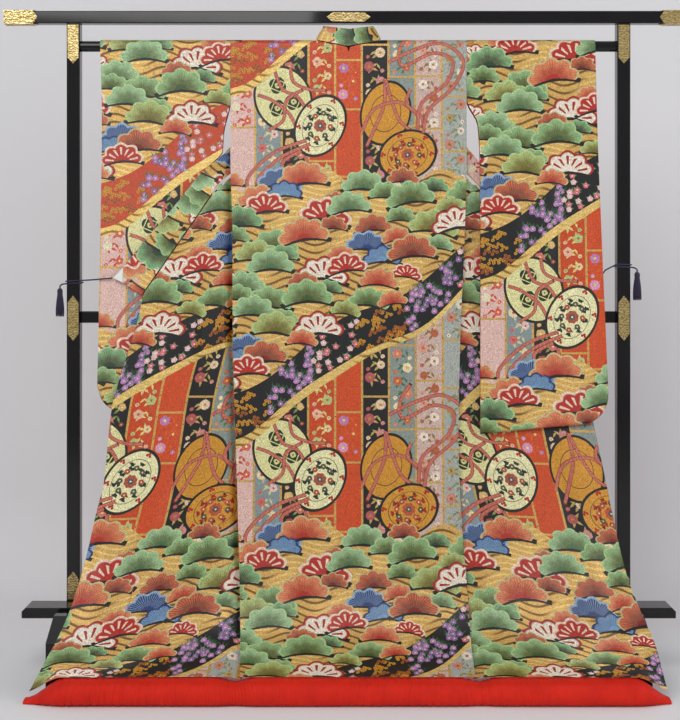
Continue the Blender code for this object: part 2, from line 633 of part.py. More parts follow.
def build_hem_roll(red):
    """Wadded red hem: a fat roll on the floor, pulled in where the side folds run into it, with pointed corners."""
    sides = 16
    corners = (np.linspace(-HEM_LEFT, -TIP_START, 9)[:-1], np.linspace(TIP_START - 0.01, HEM_RIGHT, 9)[1:])
    stations = np.concatenate((corners[0], np.linspace(-TIP_START, TIP_START - 0.01, 30), corners[1]))
    rings = []
    for x in stations:
        q = abs(x)
        full = float(roll_taper(q))
        pull = 0.15 * math.exp(-((x + 0.290) / 0.030) ** 2) + 0.15 * math.exp(-((x - 0.330) / 0.030) ** 2)
        height = ROLL_TOP * full * (1 - pull)
        depth = ROLL_HALF_DEPTH * (0.35 + 0.65 * full) * (1 - pull)
        centre = HEM_FRONT + ROLL_HALF_DEPTH + 0.010 * float(ramp(q, TIP_START, HEM_LEFT))
        middle = height / 2
        for k in range(sides):
            a = 2 * math.pi * k / sides
            across = math.copysign(abs(math.cos(a)) ** 0.75, math.cos(a))
            up = math.copysign(abs(math.sin(a)) ** 0.75, math.sin(a))
            z = max(0.0, middle + (height / 2 + 0.0012) * up - 0.0012)
            rings.append((x, centre + depth * across, z))
    faces = [tuple(range(sides)), tuple(range(len(rings) - 1, len(rings) - sides - 1, -1))]
    for i in range(len(stations) - 1):
        for j in range(sides):
            k = (j + 1) % sides
            faces.append((i * sides + j, i * sides + k, (i + 1) * sides + k, (i + 1) * sides + j))
    solid("hem_roll", rings, faces, red)


def collar_corner(side):
    """Held corner of the collar's end, and points a little way along its end and along its free edge."""
    half = collar_half(side)
    corner = half[0, -1]
    return corner, corner * 0.1 + half[0, -2] * 0.9, corner * 0.6 + half[1, -1] * 0.4


def build_wraps(paper):
    """White paper folded over each held collar corner, so that the tie doesn't mark the silk."""
    for name, side in (("left", -1), ("right", 1)):
        corner, along_end, along_edge = collar_corner(side)
        normal = np.cross(along_end - corner, along_edge - corner)
        normal *= math.copysign(1.0, -normal[1]) / np.linalg.norm(normal)
        tip = corner + (corner - (along_end + along_edge) / 2) * 0.16
        flat = np.array((tip, along_end, along_edge))
        lift = np.array((0.0016, 0.0008, 0.0008))[:, None] * normal
        under = flat + lift
        over = under + 0.0008 * normal
        faces = [(0, 1, 2), (3, 5, 4), (0, 3, 4, 1), (1, 4, 5, 2), (2, 5, 3, 0)]
        solid("wrap_" + name, np.concatenate((under, over)), faces, paper)


def tie_route(side, level):
    """Route of one tie: from the collar's corner, once and a quarter round the post, and down to its tassel."""
    corner, along_end, along_edge = collar_corner(side)
    start = corner + (corner - (along_end + along_edge) / 2) * 0.16 + (side * (TIE_RADIUS + 0.0006), 0.0, 0.0)
    a = POST_WIDTH / 2 + TIE_RADIUS + TIE_CLEAR
    b = POST_DEPTH / 2 + TIE_RADIUS + TIE_CLEAR
    angle = np.radians(np.linspace(225, 675, 37))
    size = (np.abs(np.cos(angle)) ** 10 + np.abs(np.sin(angle)) ** 10) ** -0.1
    z = level - TIE_PITCH * (angle - angle[0]) / (2 * math.pi)
    turns = np.stack((side * (POST_X + a * size * np.cos(angle)), b * size * np.sin(angle), z), axis=1)
    beyond = float(curve(SLEEVE_OUTER[(side + 1) // 2], level)) + 0.010
    leave = np.array((start, (side * beyond, start[1], start[2] * 0.4 + level * 0.6)))
    bend = np.radians(np.linspace(20, 90, 5))
    out = side * TASSEL_OUT - turns[-1][0] + side * POST_X
    hang = turns[-1] + np.stack((out * np.sin(bend), 0 * bend, -0.008 * (1 - np.cos(bend))), axis=1)
    end = hang[-1] - (0.0, 0.0, 0.005)
    return np.concatenate((leave, turns, hang, [end]))


def build_ties(cord):
    """Purple ties that hold the collar's corners out to the posts. Returns where their free ends hang."""
    ends = []
    for name, side, level in (("left", -1, TIE_LEVEL[0]), ("right", 1, TIE_LEVEL[1])):
        route = tie_route(side, level)
        verts, faces = tube_mesh(route, TIE_RADIUS, 6)
        solid("tie_" + name, verts, faces, cord)
        ends.append(route[-1])
    return ends


def build_tassels(ends, cord):
    """Tassel under each tie: a bound head, and strands that hang from its underside."""
    profile = ((0.0030, 0.0), (0.0062, -0.002), (0.0078, -0.007), (0.0078, -0.012), (0.0066, -0.0165),
               (0.0074, -0.0185))
    count = TASSEL_SIDES
    for name, end in zip(("left", "right"), ends):
        body = bmesh.new()
        rings = []
        for radius, z in profile + ((0.0042, -0.0185), (0.0018, -0.0185)):
            rings.append([body.verts.new((radius * math.cos(2 * math.pi * k / count),
                                          radius * math.sin(2 * math.pi * k / count), z)) for k in range(count)])
        under = []
        for low, high in zip(rings[:-1], rings[1:]):
            for k in range(count):
                j = (k + 1) % count
                face = body.faces.new((low[k], low[j], high[j], high[k]))
                if low[0].co.z == high[0].co.z:
                    under.append(face)
        body.faces.new(rings[0])
        body.faces.new(rings[-1][::-1])
        bmesh.ops.recalc_face_normals(body, faces=body.faces)
        bmesh.ops.inset_individual(body, faces=under, thickness=0.0002)
        for k, face in enumerate(under):
            middle = face.calc_center_median()
            length = TASSEL_LENGTH * (1 - 0.03 * math.sin(2.4 * k))
            flare = 1 + 0.55 * middle.to_2d().length / 0.0058
            for share in (0.4, 0.6):
                grown = bmesh.ops.extrude_discrete_faces(body, faces=[face])["faces"][0]
                for vert in grown.verts:
                    vert.co.x += middle.x * (flare - 1) * (1.0 - share)
                    vert.co.y += middle.y * (flare - 1) * (1.0 - share)
                    vert.co.z -= length * share
                face = grown
        body.verts.index_update()
        verts = [tuple(vert.co + Vector(end) - Vector((0.0, 0.0, GAP))) for vert in body.verts]
        faces = [tuple(vert.index for vert in face.verts) for face in body.faces]
        body.free()
        solid("tassel_" + name, verts, faces, cord)


def main():
    for thing in list(bpy.data.objects):
        bpy.data.objects.remove(thing, do_unlink=True)
    lacquer = material("lacquer", LACQUER, 0.22)
    brass = material("brass", GOLD_BRASS, 0.35, 1.0)
    brocade = material("brocade", BROCADE, 0.55)
    red = material("red_silk", RED_SILK, 0.6)
    paper = material("paper", PAPER, 0.8)
    purple = material("purple_silk", PURPLE, 0.6)
    build_stand(lacquer)
    build_brass(brass)
    build_bodies(brocade)
    build_overlaps(brocade)
    build_sleeves(brocade)
    build_collar(brocade)
    build_hem_roll(red)
    build_wraps(paper)
    build_tassels(build_ties(purple), purple)


main()
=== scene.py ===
"""Uchikake wedding kimono of figured brocade on its lacquered stand, dressed over the rigid frame.

X runs across the stand, Y away from the garment's back, Z up. Lengths are metres. The cloth's own flat
coordinates are x across the cloth, growing the way X does, and y down it from the shoulder line.
"""
import json
import math

import bpy
import numpy as np
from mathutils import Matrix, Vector
from mathutils.geometry import delaunay_2d_cdt

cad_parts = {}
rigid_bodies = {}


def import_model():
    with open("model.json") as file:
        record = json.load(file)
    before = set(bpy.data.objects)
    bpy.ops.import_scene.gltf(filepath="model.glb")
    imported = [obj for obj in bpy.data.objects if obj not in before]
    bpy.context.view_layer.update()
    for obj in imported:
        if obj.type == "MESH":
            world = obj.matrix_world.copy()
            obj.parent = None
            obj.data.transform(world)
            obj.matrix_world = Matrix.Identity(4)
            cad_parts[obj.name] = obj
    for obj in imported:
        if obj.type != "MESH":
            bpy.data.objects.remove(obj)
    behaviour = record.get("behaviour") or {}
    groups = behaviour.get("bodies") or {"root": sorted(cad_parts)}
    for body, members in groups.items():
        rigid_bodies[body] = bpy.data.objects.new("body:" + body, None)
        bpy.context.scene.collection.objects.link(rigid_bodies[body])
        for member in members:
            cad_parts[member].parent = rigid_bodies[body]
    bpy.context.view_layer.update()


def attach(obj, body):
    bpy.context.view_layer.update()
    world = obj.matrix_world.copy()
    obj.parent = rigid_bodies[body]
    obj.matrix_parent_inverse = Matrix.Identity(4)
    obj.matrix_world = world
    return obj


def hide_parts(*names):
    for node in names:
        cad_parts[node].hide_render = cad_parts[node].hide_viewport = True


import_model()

# ---- Camera, light and room ------------------------------------------------------------------------
# A studio bay: pale floor that curves up into a pale wall, which is clear when it is seen from behind.
# One broad light is above and in front, and fainter ones are at the side and behind.
BAR_Y = 0.051
CAMERA_PLACE = (-0.0235, BAR_Y - 4.0, 1.10)
CAMERA_LENS = 72.4
WALL_GREY = (0.79, 0.79, 0.80)
FLOOR_LEVEL = -0.0005
FLOOR_FRONT = -9.0
WALL_Y = 1.15
WALL_TOP = 6.0
BAY_HALF = 6.0
BEND = 0.30

eye = bpy.data.cameras.new("studio_camera")
eye.lens = CAMERA_LENS
eye.sensor_fit = "VERTICAL"
eye.sensor_height = 36.0
eye.shift_y = -0.125
eye_object = bpy.data.objects.new("studio_camera", eye)
eye_object.location = CAMERA_PLACE
eye_object.rotation_euler = (math.pi / 2, 0.0, 0.0)
bpy.context.scene.collection.objects.link(eye_object)
bpy.context.scene.camera = eye_object
bpy.context.scene.view_settings.view_transform = "Standard"


def soft_light(name, place, aim, size, power, colour=(1.0, 1.0, 1.0)):
    """Square area light at a place, turned to face a point."""
    lamp = bpy.data.lights.new(name, "AREA")
    lamp.size = size
    lamp.energy = power
    lamp.color = colour
    holder = bpy.data.objects.new(name, lamp)
    holder.location = place
    holder.rotation_euler = (Vector(aim) - Vector(place)).to_track_quat("-Z", "Y").to_euler()
    bpy.context.scene.collection.objects.link(holder)


soft_light("key_light", (-1.2, -3.6, 3.6), (0.0, 0.0, 0.9), 2.6, 106.0, (1.0, 0.99, 0.97))
soft_light("side_light", (3.4, -2.2, 1.8), (0.0, 0.0, 0.9), 2.2, 38.0)
soft_light("back_light", (0.0, 3.0, 3.4), (0.0, 0.0, 1.0), 2.4, 50.0)
room = bpy.data.worlds.new("studio_air")
room.use_nodes = True
room.node_tree.nodes["Background"].inputs["Color"].default_value = (0.93, 0.95, 1.0, 1.0)
room.node_tree.nodes["Background"].inputs["Strength"].default_value = 0.40
bpy.context.scene.world = room


def put_mesh(name, points, faces, material=None, smooth=True):
    """Object at the origin with a mesh of these points and faces."""
    mesh = bpy.data.meshes.new(name)
    mesh.from_pydata(np.asarray(points, dtype=float).tolist(), [], [tuple(int(v) for v in face) for face in faces])
    mesh.update()
    if smooth:
        mesh.shade_smooth()
    if material is not None:
        mesh.materials.append(material)
    thing = bpy.data.objects.new(name, mesh)
    bpy.context.scene.collection.objects.link(thing)
    return thing


def grid_faces(rows, columns, around=False):
    """Quads of a grid of points in rows, closed from the last column back to the first where it goes around."""
    i = np.arange(rows - 1)[:, None] * columns
    j = np.arange(columns if around else columns - 1)[None, :]
    k = (j + 1) % columns
    return np.stack((i + j, i + k, i + columns + k, i + columns + j), axis=-1).reshape(-1, 4)


def linked(nodes, source, target):
    """Joins an output socket to an input socket of the same tree."""
    nodes.id_data.links.new(source, target)


def principled(name, colour, roughness, metallic=0.0):
    """New material and its Principled shader, with plain starting values."""
    made = bpy.data.materials.new(name)
    made.use_nodes = True
    shader = made.node_tree.nodes["Principled BSDF"]
    shader.inputs["Base Color"].default_value = (*colour, 1.0)
    shader.inputs["Roughness"].default_value = roughness
    shader.inputs["Metallic"].default_value = metallic
    return made, shader


angle = np.linspace(0, math.pi / 2, 9)
rounded = np.stack((WALL_Y - BEND + BEND * np.sin(angle), FLOOR_LEVEL + BEND - BEND * np.cos(angle)), axis=1)
profile = np.concatenate(([[FLOOR_FRONT, FLOOR_LEVEL]], rounded, [[WALL_Y, WALL_TOP]]))
bay = np.stack([np.column_stack((np.full(len(profile), x), profile)) for x in (-BAY_HALF, BAY_HALF)], axis=1)
bay_paint, bay_shader = principled("bay_paint", WALL_GREY, 0.8)
nodes = bay_paint.node_tree.nodes
facing = nodes.new("ShaderNodeNewGeometry")
clear = nodes.new("ShaderNodeBsdfTransparent")
one_sided = nodes.new("ShaderNodeMixShader")
linked(nodes, facing.outputs["Backfacing"], one_sided.inputs[0])
linked(nodes, bay_shader.outputs[0], one_sided.inputs[1])
linked(nodes, clear.outputs[0], one_sided.inputs[2])
linked(nodes, one_sided.outputs[0], nodes["Material Output"].inputs["Surface"])
put_mesh("bay", bay.reshape(-1, 3), grid_faces(len(profile), 2), bay_paint)

# ---- Ties ------------------------------------------------------------------------------------------
# Round braided silk cords. Each leaves the corner of the collar, goes once and a quarter round its post
# and ends in a tassel: a bound head over a skirt of strands.
TIE_RADIUS = 0.002
TIE_PURPLE = (0.052, 0.034, 0.088)
TIE_SIDES = 12
TIE_START = ((-0.64227, -0.01487, 1.07834), (0.68385, 0.0129, 1.07504))
SLEEVE_EDGE = (0.688, 0.70259)
POST_X = 0.757
POST_HALF = (0.018, 0.020)
TIE_CLEAR = 0.0008
TURN_PITCH = 0.007
TASSEL_OUT = 0.036
TASSEL_SIDES = 20
HEAD_PROFILE = ((0.0022, 0.0008), (0.0046, 0.0), (0.0062, -0.002), (0.0076, -0.006), (0.0078, -0.0105),
                (0.0069, -0.0122), (0.0076, -0.0138), (0.0070, -0.0152), (0.0078, -0.0165), (0.0074, -0.0185))
STRAND_RINGS = (0.0014, 0.0042, 0.0068)
STRAND_COUNTS = (12, 44, 84)
STRAND_LENGTH = 0.0745
STRAND_TOP = 0.0165
STRAND_THICK = 0.00050
STRAND_STEPS = 7
STRAND_SIDES = 4


def value_node(nodes, operation, *inputs):
    """Math node on sockets or numbers; returns its output."""
    node = nodes.new("ShaderNodeMath")
    node.operation = operation
    for place, given in enumerate(inputs):
        if isinstance(given, bpy.types.NodeSocket):
            linked(nodes, given, node.inputs[place])
        else:
            node.inputs[place].default_value = given
    return node.outputs[0]


def step_node(nodes, value, low, high):
    """Smooth step of a value from 0 at low to 1 at high."""
    node = nodes.new("ShaderNodeMapRange")
    node.interpolation_type = "SMOOTHSTEP"
    linked(nodes, value, node.inputs["Value"])
    node.inputs["From Min"].default_value = low
    node.inputs["From Max"].default_value = high
    return node.outputs["Result"]


def mix_node(nodes, amount, low, high):
    """Colour between two colours or colour sockets."""
    node = nodes.new("ShaderNodeMix")
    node.data_type = "RGBA"
    for place, given in ((0, amount), (6, low), (7, high)):
        if isinstance(given, bpy.types.NodeSocket):
            linked(nodes, given, node.inputs[place])
        elif place:
            node.inputs[place].default_value = (*given, 1.0)
        else:
            node.inputs[place].default_value = given
    return node.outputs[2]


def headings(path):
    """Unit directions along a path of points."""
    along = np.gradient(path, axis=0)
    return along / np.linalg.norm(along, axis=1, keepdims=True)


def sweep_tube(path, radius, sides):
    """Rings of points round a path: radius times cosine and sine along two directions carried square to it."""
    along = headings(path)
    across = np.cross(along[0], (0.3, 0.9, 0.2))
    angle = np.linspace(0, 2 * math.pi, sides, endpoint=False)[:, None]
    rings = []
    for point, ahead in zip(path, along):
        across = across - ahead * np.dot(across, ahead)
        across /= np.linalg.norm(across)
        rings.append(point + radius * (np.cos(angle) * across + np.sin(angle) * np.cross(ahead, across)))
    return np.array(rings)


def put_tube(name, path, radius, sides, material):
    """Closed tube along a path."""
    rings = sweep_tube(path, radius, sides)
    count = len(rings)
    faces = [tuple(face) for face in grid_faces(count, sides, around=True)]
    faces += [tuple(range(sides - 1, -1, -1)), tuple(range((count - 1) * sides, count * sides))]
    return put_mesh(name, rings.reshape(-1, 3), faces, material)


def tie_route(side, level, start):
    """Route of a tie: from the collar's corner, once and a quarter round the post, and down to its tassel.

    Round the post it is a squared circle, cos and sin raised to the power 10, sinking evenly.
    """
    a, b = (half + TIE_RADIUS + TIE_CLEAR for half in POST_HALF)
    angle = np.radians(np.linspace(225, 675, 37))
    size = (np.abs(np.cos(angle)) ** 10 + np.abs(np.sin(angle)) ** 10) ** -0.1
    z = level - TURN_PITCH * (angle - angle[0]) / (2 * math.pi)
    turns = np.stack((side * (POST_X + a * size * np.cos(angle)), BAR_Y + b * size * np.sin(angle), z), axis=1)
    edge = side * SLEEVE_EDGE[(side + 1) // 2]
    leave = np.array((start, (edge, start[1], start[2] * 0.4 + level * 0.6)))
    bend = np.radians(np.linspace(20, 90, 5))
    out = side * TASSEL_OUT - turns[-1][0] + side * POST_X
    hang = turns[-1] + np.stack((out * np.sin(bend), 0 * bend, -0.008 * (1 - np.cos(bend))), axis=1)
    return np.concatenate((leave, turns, hang, [hang[-1] - (0.0, 0.0, 0.005)]))


def put_tassel(name, top, material):
    """Tassel: a turned, bound head and a skirt of curved strands that start inside it, as one mesh."""
    angle = np.linspace(0, 2 * math.pi, TASSEL_SIDES, endpoint=False)
    profile = np.array(HEAD_PROFILE)
    radius, drop = profile[:, :1], profile[:, 1:]
    head = np.stack((radius * np.cos(angle), radius * np.sin(angle), drop + 0 * angle), axis=-1)
    points = [head.reshape(-1, 3)]
    start = len(profile) * TASSEL_SIDES
    faces = [tuple(face[::-1]) for face in grid_faces(len(profile), TASSEL_SIDES, around=True)]
    faces += [tuple(range(TASSEL_SIDES)), tuple(range(start - 1, start - TASSEL_SIDES - 1, -1))]
    way = np.linspace(0, 1, STRAND_STEPS)
    corner = np.linspace(0, 2 * math.pi, STRAND_SIDES, endpoint=False)
    for ring, (radius, count) in enumerate(zip(STRAND_RINGS, STRAND_COUNTS)):
        for k in range(count):
            turn = 2 * math.pi * (k + 0.37 * ring) / count
            length = STRAND_LENGTH * (1 - 0.035 * math.sin(2.4 * k + ring))
            sway = 0.10 * math.sin(5.3 * k + 2 * ring)
            spread = radius * (1 + 0.62 * np.sin(math.pi * way * 0.62) + 0.05 * math.sin(7.1 * k) * way)
            line = np.stack((spread * np.cos(turn + sway * way), spread * np.sin(turn + sway * way),
                             -STRAND_TOP - (length - STRAND_TOP) * way), axis=1)
            thick = STRAND_THICK * (1 - 0.35 * way[:, None] ** 3)
            ring_points = np.stack((thick * np.cos(corner), thick * np.sin(corner), 0 * thick * corner), axis=-1)
            points.append((line[:, None, :] + ring_points).reshape(-1, 3))
            faces += [tuple(face[::-1] + start) for face in grid_faces(STRAND_STEPS, STRAND_SIDES, around=True)]
            tip = start + STRAND_STEPS * STRAND_SIDES - 1
            faces += [tuple(range(start, start + STRAND_SIDES)), tuple(range(tip, tip - STRAND_SIDES, -1))]
            start = tip + 1
    return put_mesh(name, np.concatenate(points) + top, faces, material)


def new_group(name, inputs, outputs):
    """Empty node group, with what it is given and where its results go."""
    tree = bpy.data.node_groups.new(name, "ShaderNodeTree")
    for in_out, sockets in (("INPUT", inputs), ("OUTPUT", outputs)):
        for label, kind in sockets.items():
            tree.interface.new_socket(label, in_out=in_out, socket_type=f"NodeSocket{kind}")
    return tree, tree.nodes.new("NodeGroupInput").outputs, tree.nodes.new("NodeGroupOutput").inputs


def texture_node(nodes, kind, place, values):
    """Texture of a kind at the places of a vector socket."""
    node = nodes.new(f"ShaderNodeTex{kind}")
    linked(nodes, place, node.inputs["Vector"])
    for socket, value in values.items():
        node.inputs[socket].default_value = value
    return node


def put_relief(nodes, height, strength, distance, shader):
    """Bump of a height socket, on a shader."""
    bump = nodes.new("ShaderNodeBump")
    bump.inputs["Strength"].default_value = strength
    bump.inputs["Distance"].default_value = distance
    linked(nodes, height, bump.inputs["Height"])
    linked(nodes, bump.outputs["Normal"], shader.inputs["Normal"])


def silk_weave():
    """Node group: threads of plain silk in Object coordinates, as a height and a slow change of shade."""
    tree, given, result = new_group("silk_threads", {"Place": "Vector", "Threads": "Float"},
                                    {"Height": "Float", "Shade": "Float"})
    nodes = tree.nodes
    wave = texture_node(nodes, "Wave", given["Place"], {"Distortion": 1.2})
    wave.bands_direction = "DIAGONAL"
    linked(nodes, given["Threads"], wave.inputs["Scale"])
    slow = texture_node(nodes, "Noise", given["Place"], {"Scale": 24.0, "Detail": 3.0})
    linked(nodes, wave.outputs["Fac"], result["Height"])
    linked(nodes, slow.outputs["Fac"], result["Shade"])
    return tree


silk_threads = silk_weave()


def silk(name, low, high, roughness, threads, bump, sheen=0.1):
    """Silk finish between two shades, with fine threads in relief."""
    made, shader = principled(name, high, roughness)
    nodes = made.node_tree.nodes
    weave = nodes.new("ShaderNodeGroup")
    weave.node_tree = silk_threads
    linked(nodes, nodes.new("ShaderNodeTexCoord").outputs["Object"], weave.inputs["Place"])
    weave.inputs["Threads"].default_value = threads
    linked(nodes, mix_node(nodes, weave.outputs["Shade"], low, high), shader.inputs["Base Color"])
    put_relief(nodes, weave.outputs["Height"], bump, 0.0006, shader)
    shader.inputs["Sheen Weight"].default_value = sheen
    shader.inputs["Sheen Roughness"].default_value = 0.35
    return made


tie_silk = silk("tie_silk", (0.020, 0.012, 0.040), TIE_PURPLE, 0.6, 420.0, 0.9)
for name, side, level in (("left", -1, 1.071), ("right", 1, 1.116)):
    route = tie_route(side, level, TIE_START[(side + 1) // 2])
    tie = put_tube(f"silk_tie_{name}", route, TIE_RADIUS, TIE_SIDES, tie_silk)
    tassel = put_tassel(f"silk_tassel_{name}", route[-1] - (0.0, 0.0, 0.0003), tie_silk)
    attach(tie, "root")
    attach(tassel, "root")
    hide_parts(f"tie_{name}")
    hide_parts(f"tassel_{name}")

# ---- How the cloth hangs ---------------------------------------------------------------------------
# The same draped form as the rigid frame, as smooth functions: q is the distance out from the middle
# seam, s the way down the cloth from the shoulder line, and depth is measured back from the cloth's
# middle layer.
BAR_Z = 1.7175
SHOULDER_RADIUS = 0.0178
HEM_LEFT = 0.827
TIP_START = 0.730
ARMHOLE_Z = 1.570
NECK_HALF = 0.090
NECK_Z = 1.714
CLOTH = 0.002
SEAM = 0.00003
ROWS_DOWN = 23
TIP_ROW = 5
COLLAR_END_ROW = 9
FALL = (
    # z, y_middle, y_edge
    (1.7175, 0.000, 0.000),
    (1.6200, -0.002, -0.002),
    (1.4500, -0.009, -0.010),
    (1.2500, -0.022, -0.028),
    (1.0500, -0.034, -0.050),
    (0.8000, -0.047, -0.085),
    (0.6000, -0.062, -0.122),
    (0.4000, -0.086, -0.168),
    (0.2800, -0.110, -0.212),
    (0.2000, -0.134, -0.248),
    (0.1450, -0.172, -0.290),
    (0.1050, -0.225, -0.302),
    (0.0800, -0.272, -0.310),
    (0.0648, -0.318, -0.322),
)
SIDE_EDGE = (
    ((0.06, 0.279), (0.165, 0.288), (0.36, 0.296), (0.62, 0.306), (0.915, 0.316), (1.20, 0.318), (1.43, 0.3246),
     (1.74, 0.3246)),
    ((0.06, 0.3214), (0.20, 0.3186), (0.40, 0.306), (0.61, 0.298), (0.90, 0.304), (1.20, 0.318), (1.43, 0.3246),
     (1.74, 0.3246)),
)
PANEL_SEAM = (
    ((0.06, 0.6195), (0.165, 0.589), (0.36, 0.5425), (0.50, 0.511), (0.62, 0.492), (0.75, 0.474), (0.915, 0.435),
     (1.183, 0.377), (1.329, 0.3453)),
    ((0.06, 0.612), (0.165, 0.594), (0.36, 0.556), (0.50, 0.526), (0.62, 0.500), (0.75, 0.474), (0.915, 0.435),
     (1.183, 0.385), (1.329, 0.3453)),
)
OUTER_EDGE = (
    ((0.06, 0.818), (0.10, 0.780), (0.165, 0.741), (0.30, 0.697), (0.47, 0.664), (0.52, 0.652), (0.72, 0.637),
     (0.87, 0.598), (0.96, 0.572), (1.021, 0.560)),
    ((0.06, 0.812), (0.10, 0.797), (0.165, 0.778), (0.30, 0.730), (0.46, 0.700), (0.52, 0.690), (0.72, 0.655),
     (0.87, 0.630), (0.96, 0.612), (1.050, 0.598)),
)
SLEEVE_INNER = (
    ((0.60, 0.374), (1.34, 0.375), (1.39, 0.375), (1.42, 0.3475), (1.48, 0.3430), (ARMHOLE_Z, 0.3252),
     (1.74, 0.3252)),
    ((0.60, 0.3577), (1.40, 0.3610), (1.50, 0.3560), (ARMHOLE_Z, 0.3252), (1.74, 0.3252)),
)
SLEEVE_OUTER = (
    ((0.60, 0.678), (1.50, 0.678), (1.74, 0.684)),
    ((0.60, 0.702), (1.00, 0.695), (1.74, 0.678)),
)
SLEEVE_BOTTOM = ((0.690, 0.722), (0.6525, 0.691))
SLEEVE_CORNER = 0.070
TUCK = ((0.06, 0.003), (0.165, 0.011), (0.36, 0.030), (0.50, 0.045), (0.62, 0.056), (0.75, 0.066), (0.915, 0.088),
        (1.183, 0.112), (1.33, 0.120), (1.43, 0.135), (1.55, 0.170), (1.66, 0.165), (1.74, 0.150))
TURN = ((0.0, math.pi), (1.45, math.pi), (1.54, math.pi), (1.60, 2.9), (1.66, 2.0), (1.71, 0.6), (1.7355, 0.0))
LAPEL = ((1.329, 0.144), (1.36, 0.122), (1.43, 0.083), (1.55, 0.052), (1.66, 0.060), (1.7355, 0.072))
BACK_HALF = ((0.06, 0.000), (0.10, 0.004), (0.20, 0.010), (0.60, 0.0125), (1.30, 0.0125), (1.7175, SHOULDER_RADIUS))
SLEEVE_FRONT = ((0.60, 0.000), (1.30, 0.000), (ARMHOLE_Z, 0.013), (1.7175, SHOULDER_RADIUS))
FRONT_INSIDE = ((0.06, 0.0047), (0.10, 0.003), (0.20, -0.001), (0.60, -0.002), (1.35, -0.002), (1.55, 0.008),
                (1.7175, SHOULDER_RADIUS))
FOLD_LENGTH = ((0.06, 0.003), (0.12, 0.006), (0.30, 0.0126), (1.74, 0.0126))
OUTSPREAD = (
    ((0.06, 0.0), (0.10, -0.004), (0.30, -0.020), (1.20, -0.021), (1.74, -0.021)),
    ((0.06, 0.0), (0.10, 0.001), (0.20, 0.005), (0.45, 0.008), (0.80, 0.009), (1.20, 0.008), (1.74, 0.007)),
)
CROSSING = 0.030


def curve(table, x):
    """Smooth curve through (place, value) rows: cubics whose slopes never run past the rows beside them."""
    knots, values = np.array(table, dtype=float).T
    rates = np.diff(values) / np.diff(knots)
    product = rates[:-1] * rates[1:]
    total = rates[:-1] + rates[1:]
    inside = np.where(product > 0, 2 * product / np.where(product > 0, total, 1.0), 0.0)
    slopes = np.concatenate((rates[:1], inside, rates[-1:]))
    x = np.clip(x, knots[0], knots[-1])
    i = np.clip(np.searchsorted(knots, x) - 1, 0, len(knots) - 2)
    h = knots[i + 1] - knots[i]
    t = (x - knots[i]) / h
    start = (1 + 2 * t) * (1 - t) ** 2 * values[i] + t * (1 - t) ** 2 * h * slopes[i]
    end = t * t * (3 - 2 * t) * values[i + 1] - t * t * (1 - t) * h * slopes[i + 1]
    return start + end


def ramp(x, low, high):
    """Smooth step from 0 at low to 1 at high."""
    t = np.clip((x - low) / (high - low), 0, 1)
    return t * t * (3 - 2 * t)


fall_rows = np.array(FALL)
fall_way = np.concatenate(([0.0], np.cumsum(np.hypot(np.diff(fall_rows[:, 0]), np.diff(fall_rows[:, 1])))))
FALL_Z, FALL_MIDDLE, FALL_EDGE = (np.column_stack((fall_way, fall_rows[:, k])) for k in range(3))
FALL_LENGTH = fall_way[-1]
SHOULDER_ARC = math.pi / 2 * SHOULDER_RADIUS
CLOTH_LENGTH = SHOULDER_ARC + FALL_LENGTH
ROW_STEP = FALL_LENGTH / ROWS_DOWN


def cloth_height(s):
    """Height of the cloth's middle layer, s metres down from the top of the shoulder."""
    arc = BAR_Z + SHOULDER_RADIUS * np.cos(np.clip(s, 0, SHOULDER_ARC) / SHOULDER_RADIUS)
    return np.where(s < SHOULDER_ARC, arc, curve(FALL_Z, s - SHOULDER_ARC))


def way_down(z):
    """Distance down the cloth to height z, below the bar."""
    fine = np.linspace(0, FALL_LENGTH, 2001)
    return SHOULDER_ARC + np.interp(-z, -curve(FALL_Z, fine), fine)


def lean(q, s):
    """How far forward of the bar the cloth's middle layer lies, q out from the middle."""
    way = s - SHOULDER_ARC
    middle = curve(FALL_MIDDLE, way)
    edge = curve(FALL_EDGE, way)
    return middle + (edge - middle) * ramp(q, 0.36, 0.72)


def place(side, q, depth, s):
    """Point q out from the middle, s down from the shoulder, and depth back from the cloth's middle layer.

    Depth is square to the way the cloth falls: over the bar it turns from up to back, near the floor down again.
    """
    z = cloth_height(s)
    step = 0.002
    rise = curve(FALL_Z, s - SHOULDER_ARC + step) - curve(FALL_Z, s - SHOULDER_ARC - step)
    reach = lean(q, s + step) - lean(q, s - step)
    size = np.maximum(np.hypot(rise, reach), 1e-9)
    on_bar = s < SHOULDER_ARC + step
    out_y = np.where(on_bar, np.sin(np.clip(s, 0, SHOULDER_ARC) / SHOULDER_RADIUS), -rise / size)
    out_z = np.where(on_bar, 0.0, reach / size)
    tip = ramp(q, TIP_START, HEM_LEFT + 0.01) * ramp(s, CLOTH_LENGTH - 0.16, CLOTH_LENGTH)
    return np.stack((side * q + 0 * z, BAR_Y + lean(q, s) + depth * out_y, z + depth * out_z - 0.040 * tip), axis=-1)


def creases(rows, x, z):
    """Depth of soft troughs (positive) and ridges: each a line between two points, bell shaped across it."""
    depth = 0.0 * x
    for x1, z1, x2, z2, half_width, deep in rows:
        dx, dz = x2 - x1, z2 - z1
        size = math.hypot(dx, dz)
        along = ((x - x1) * dx + (z - z1) * dz) / size ** 2
        across = ((x - x1) * dz - (z - z1) * dx) / size
        held = ramp(along, -0.12, 0.25) * ramp(along, 1.12, 0.75)
        depth = depth + deep * np.exp(-(across / half_width) ** 2) * held
    return depth


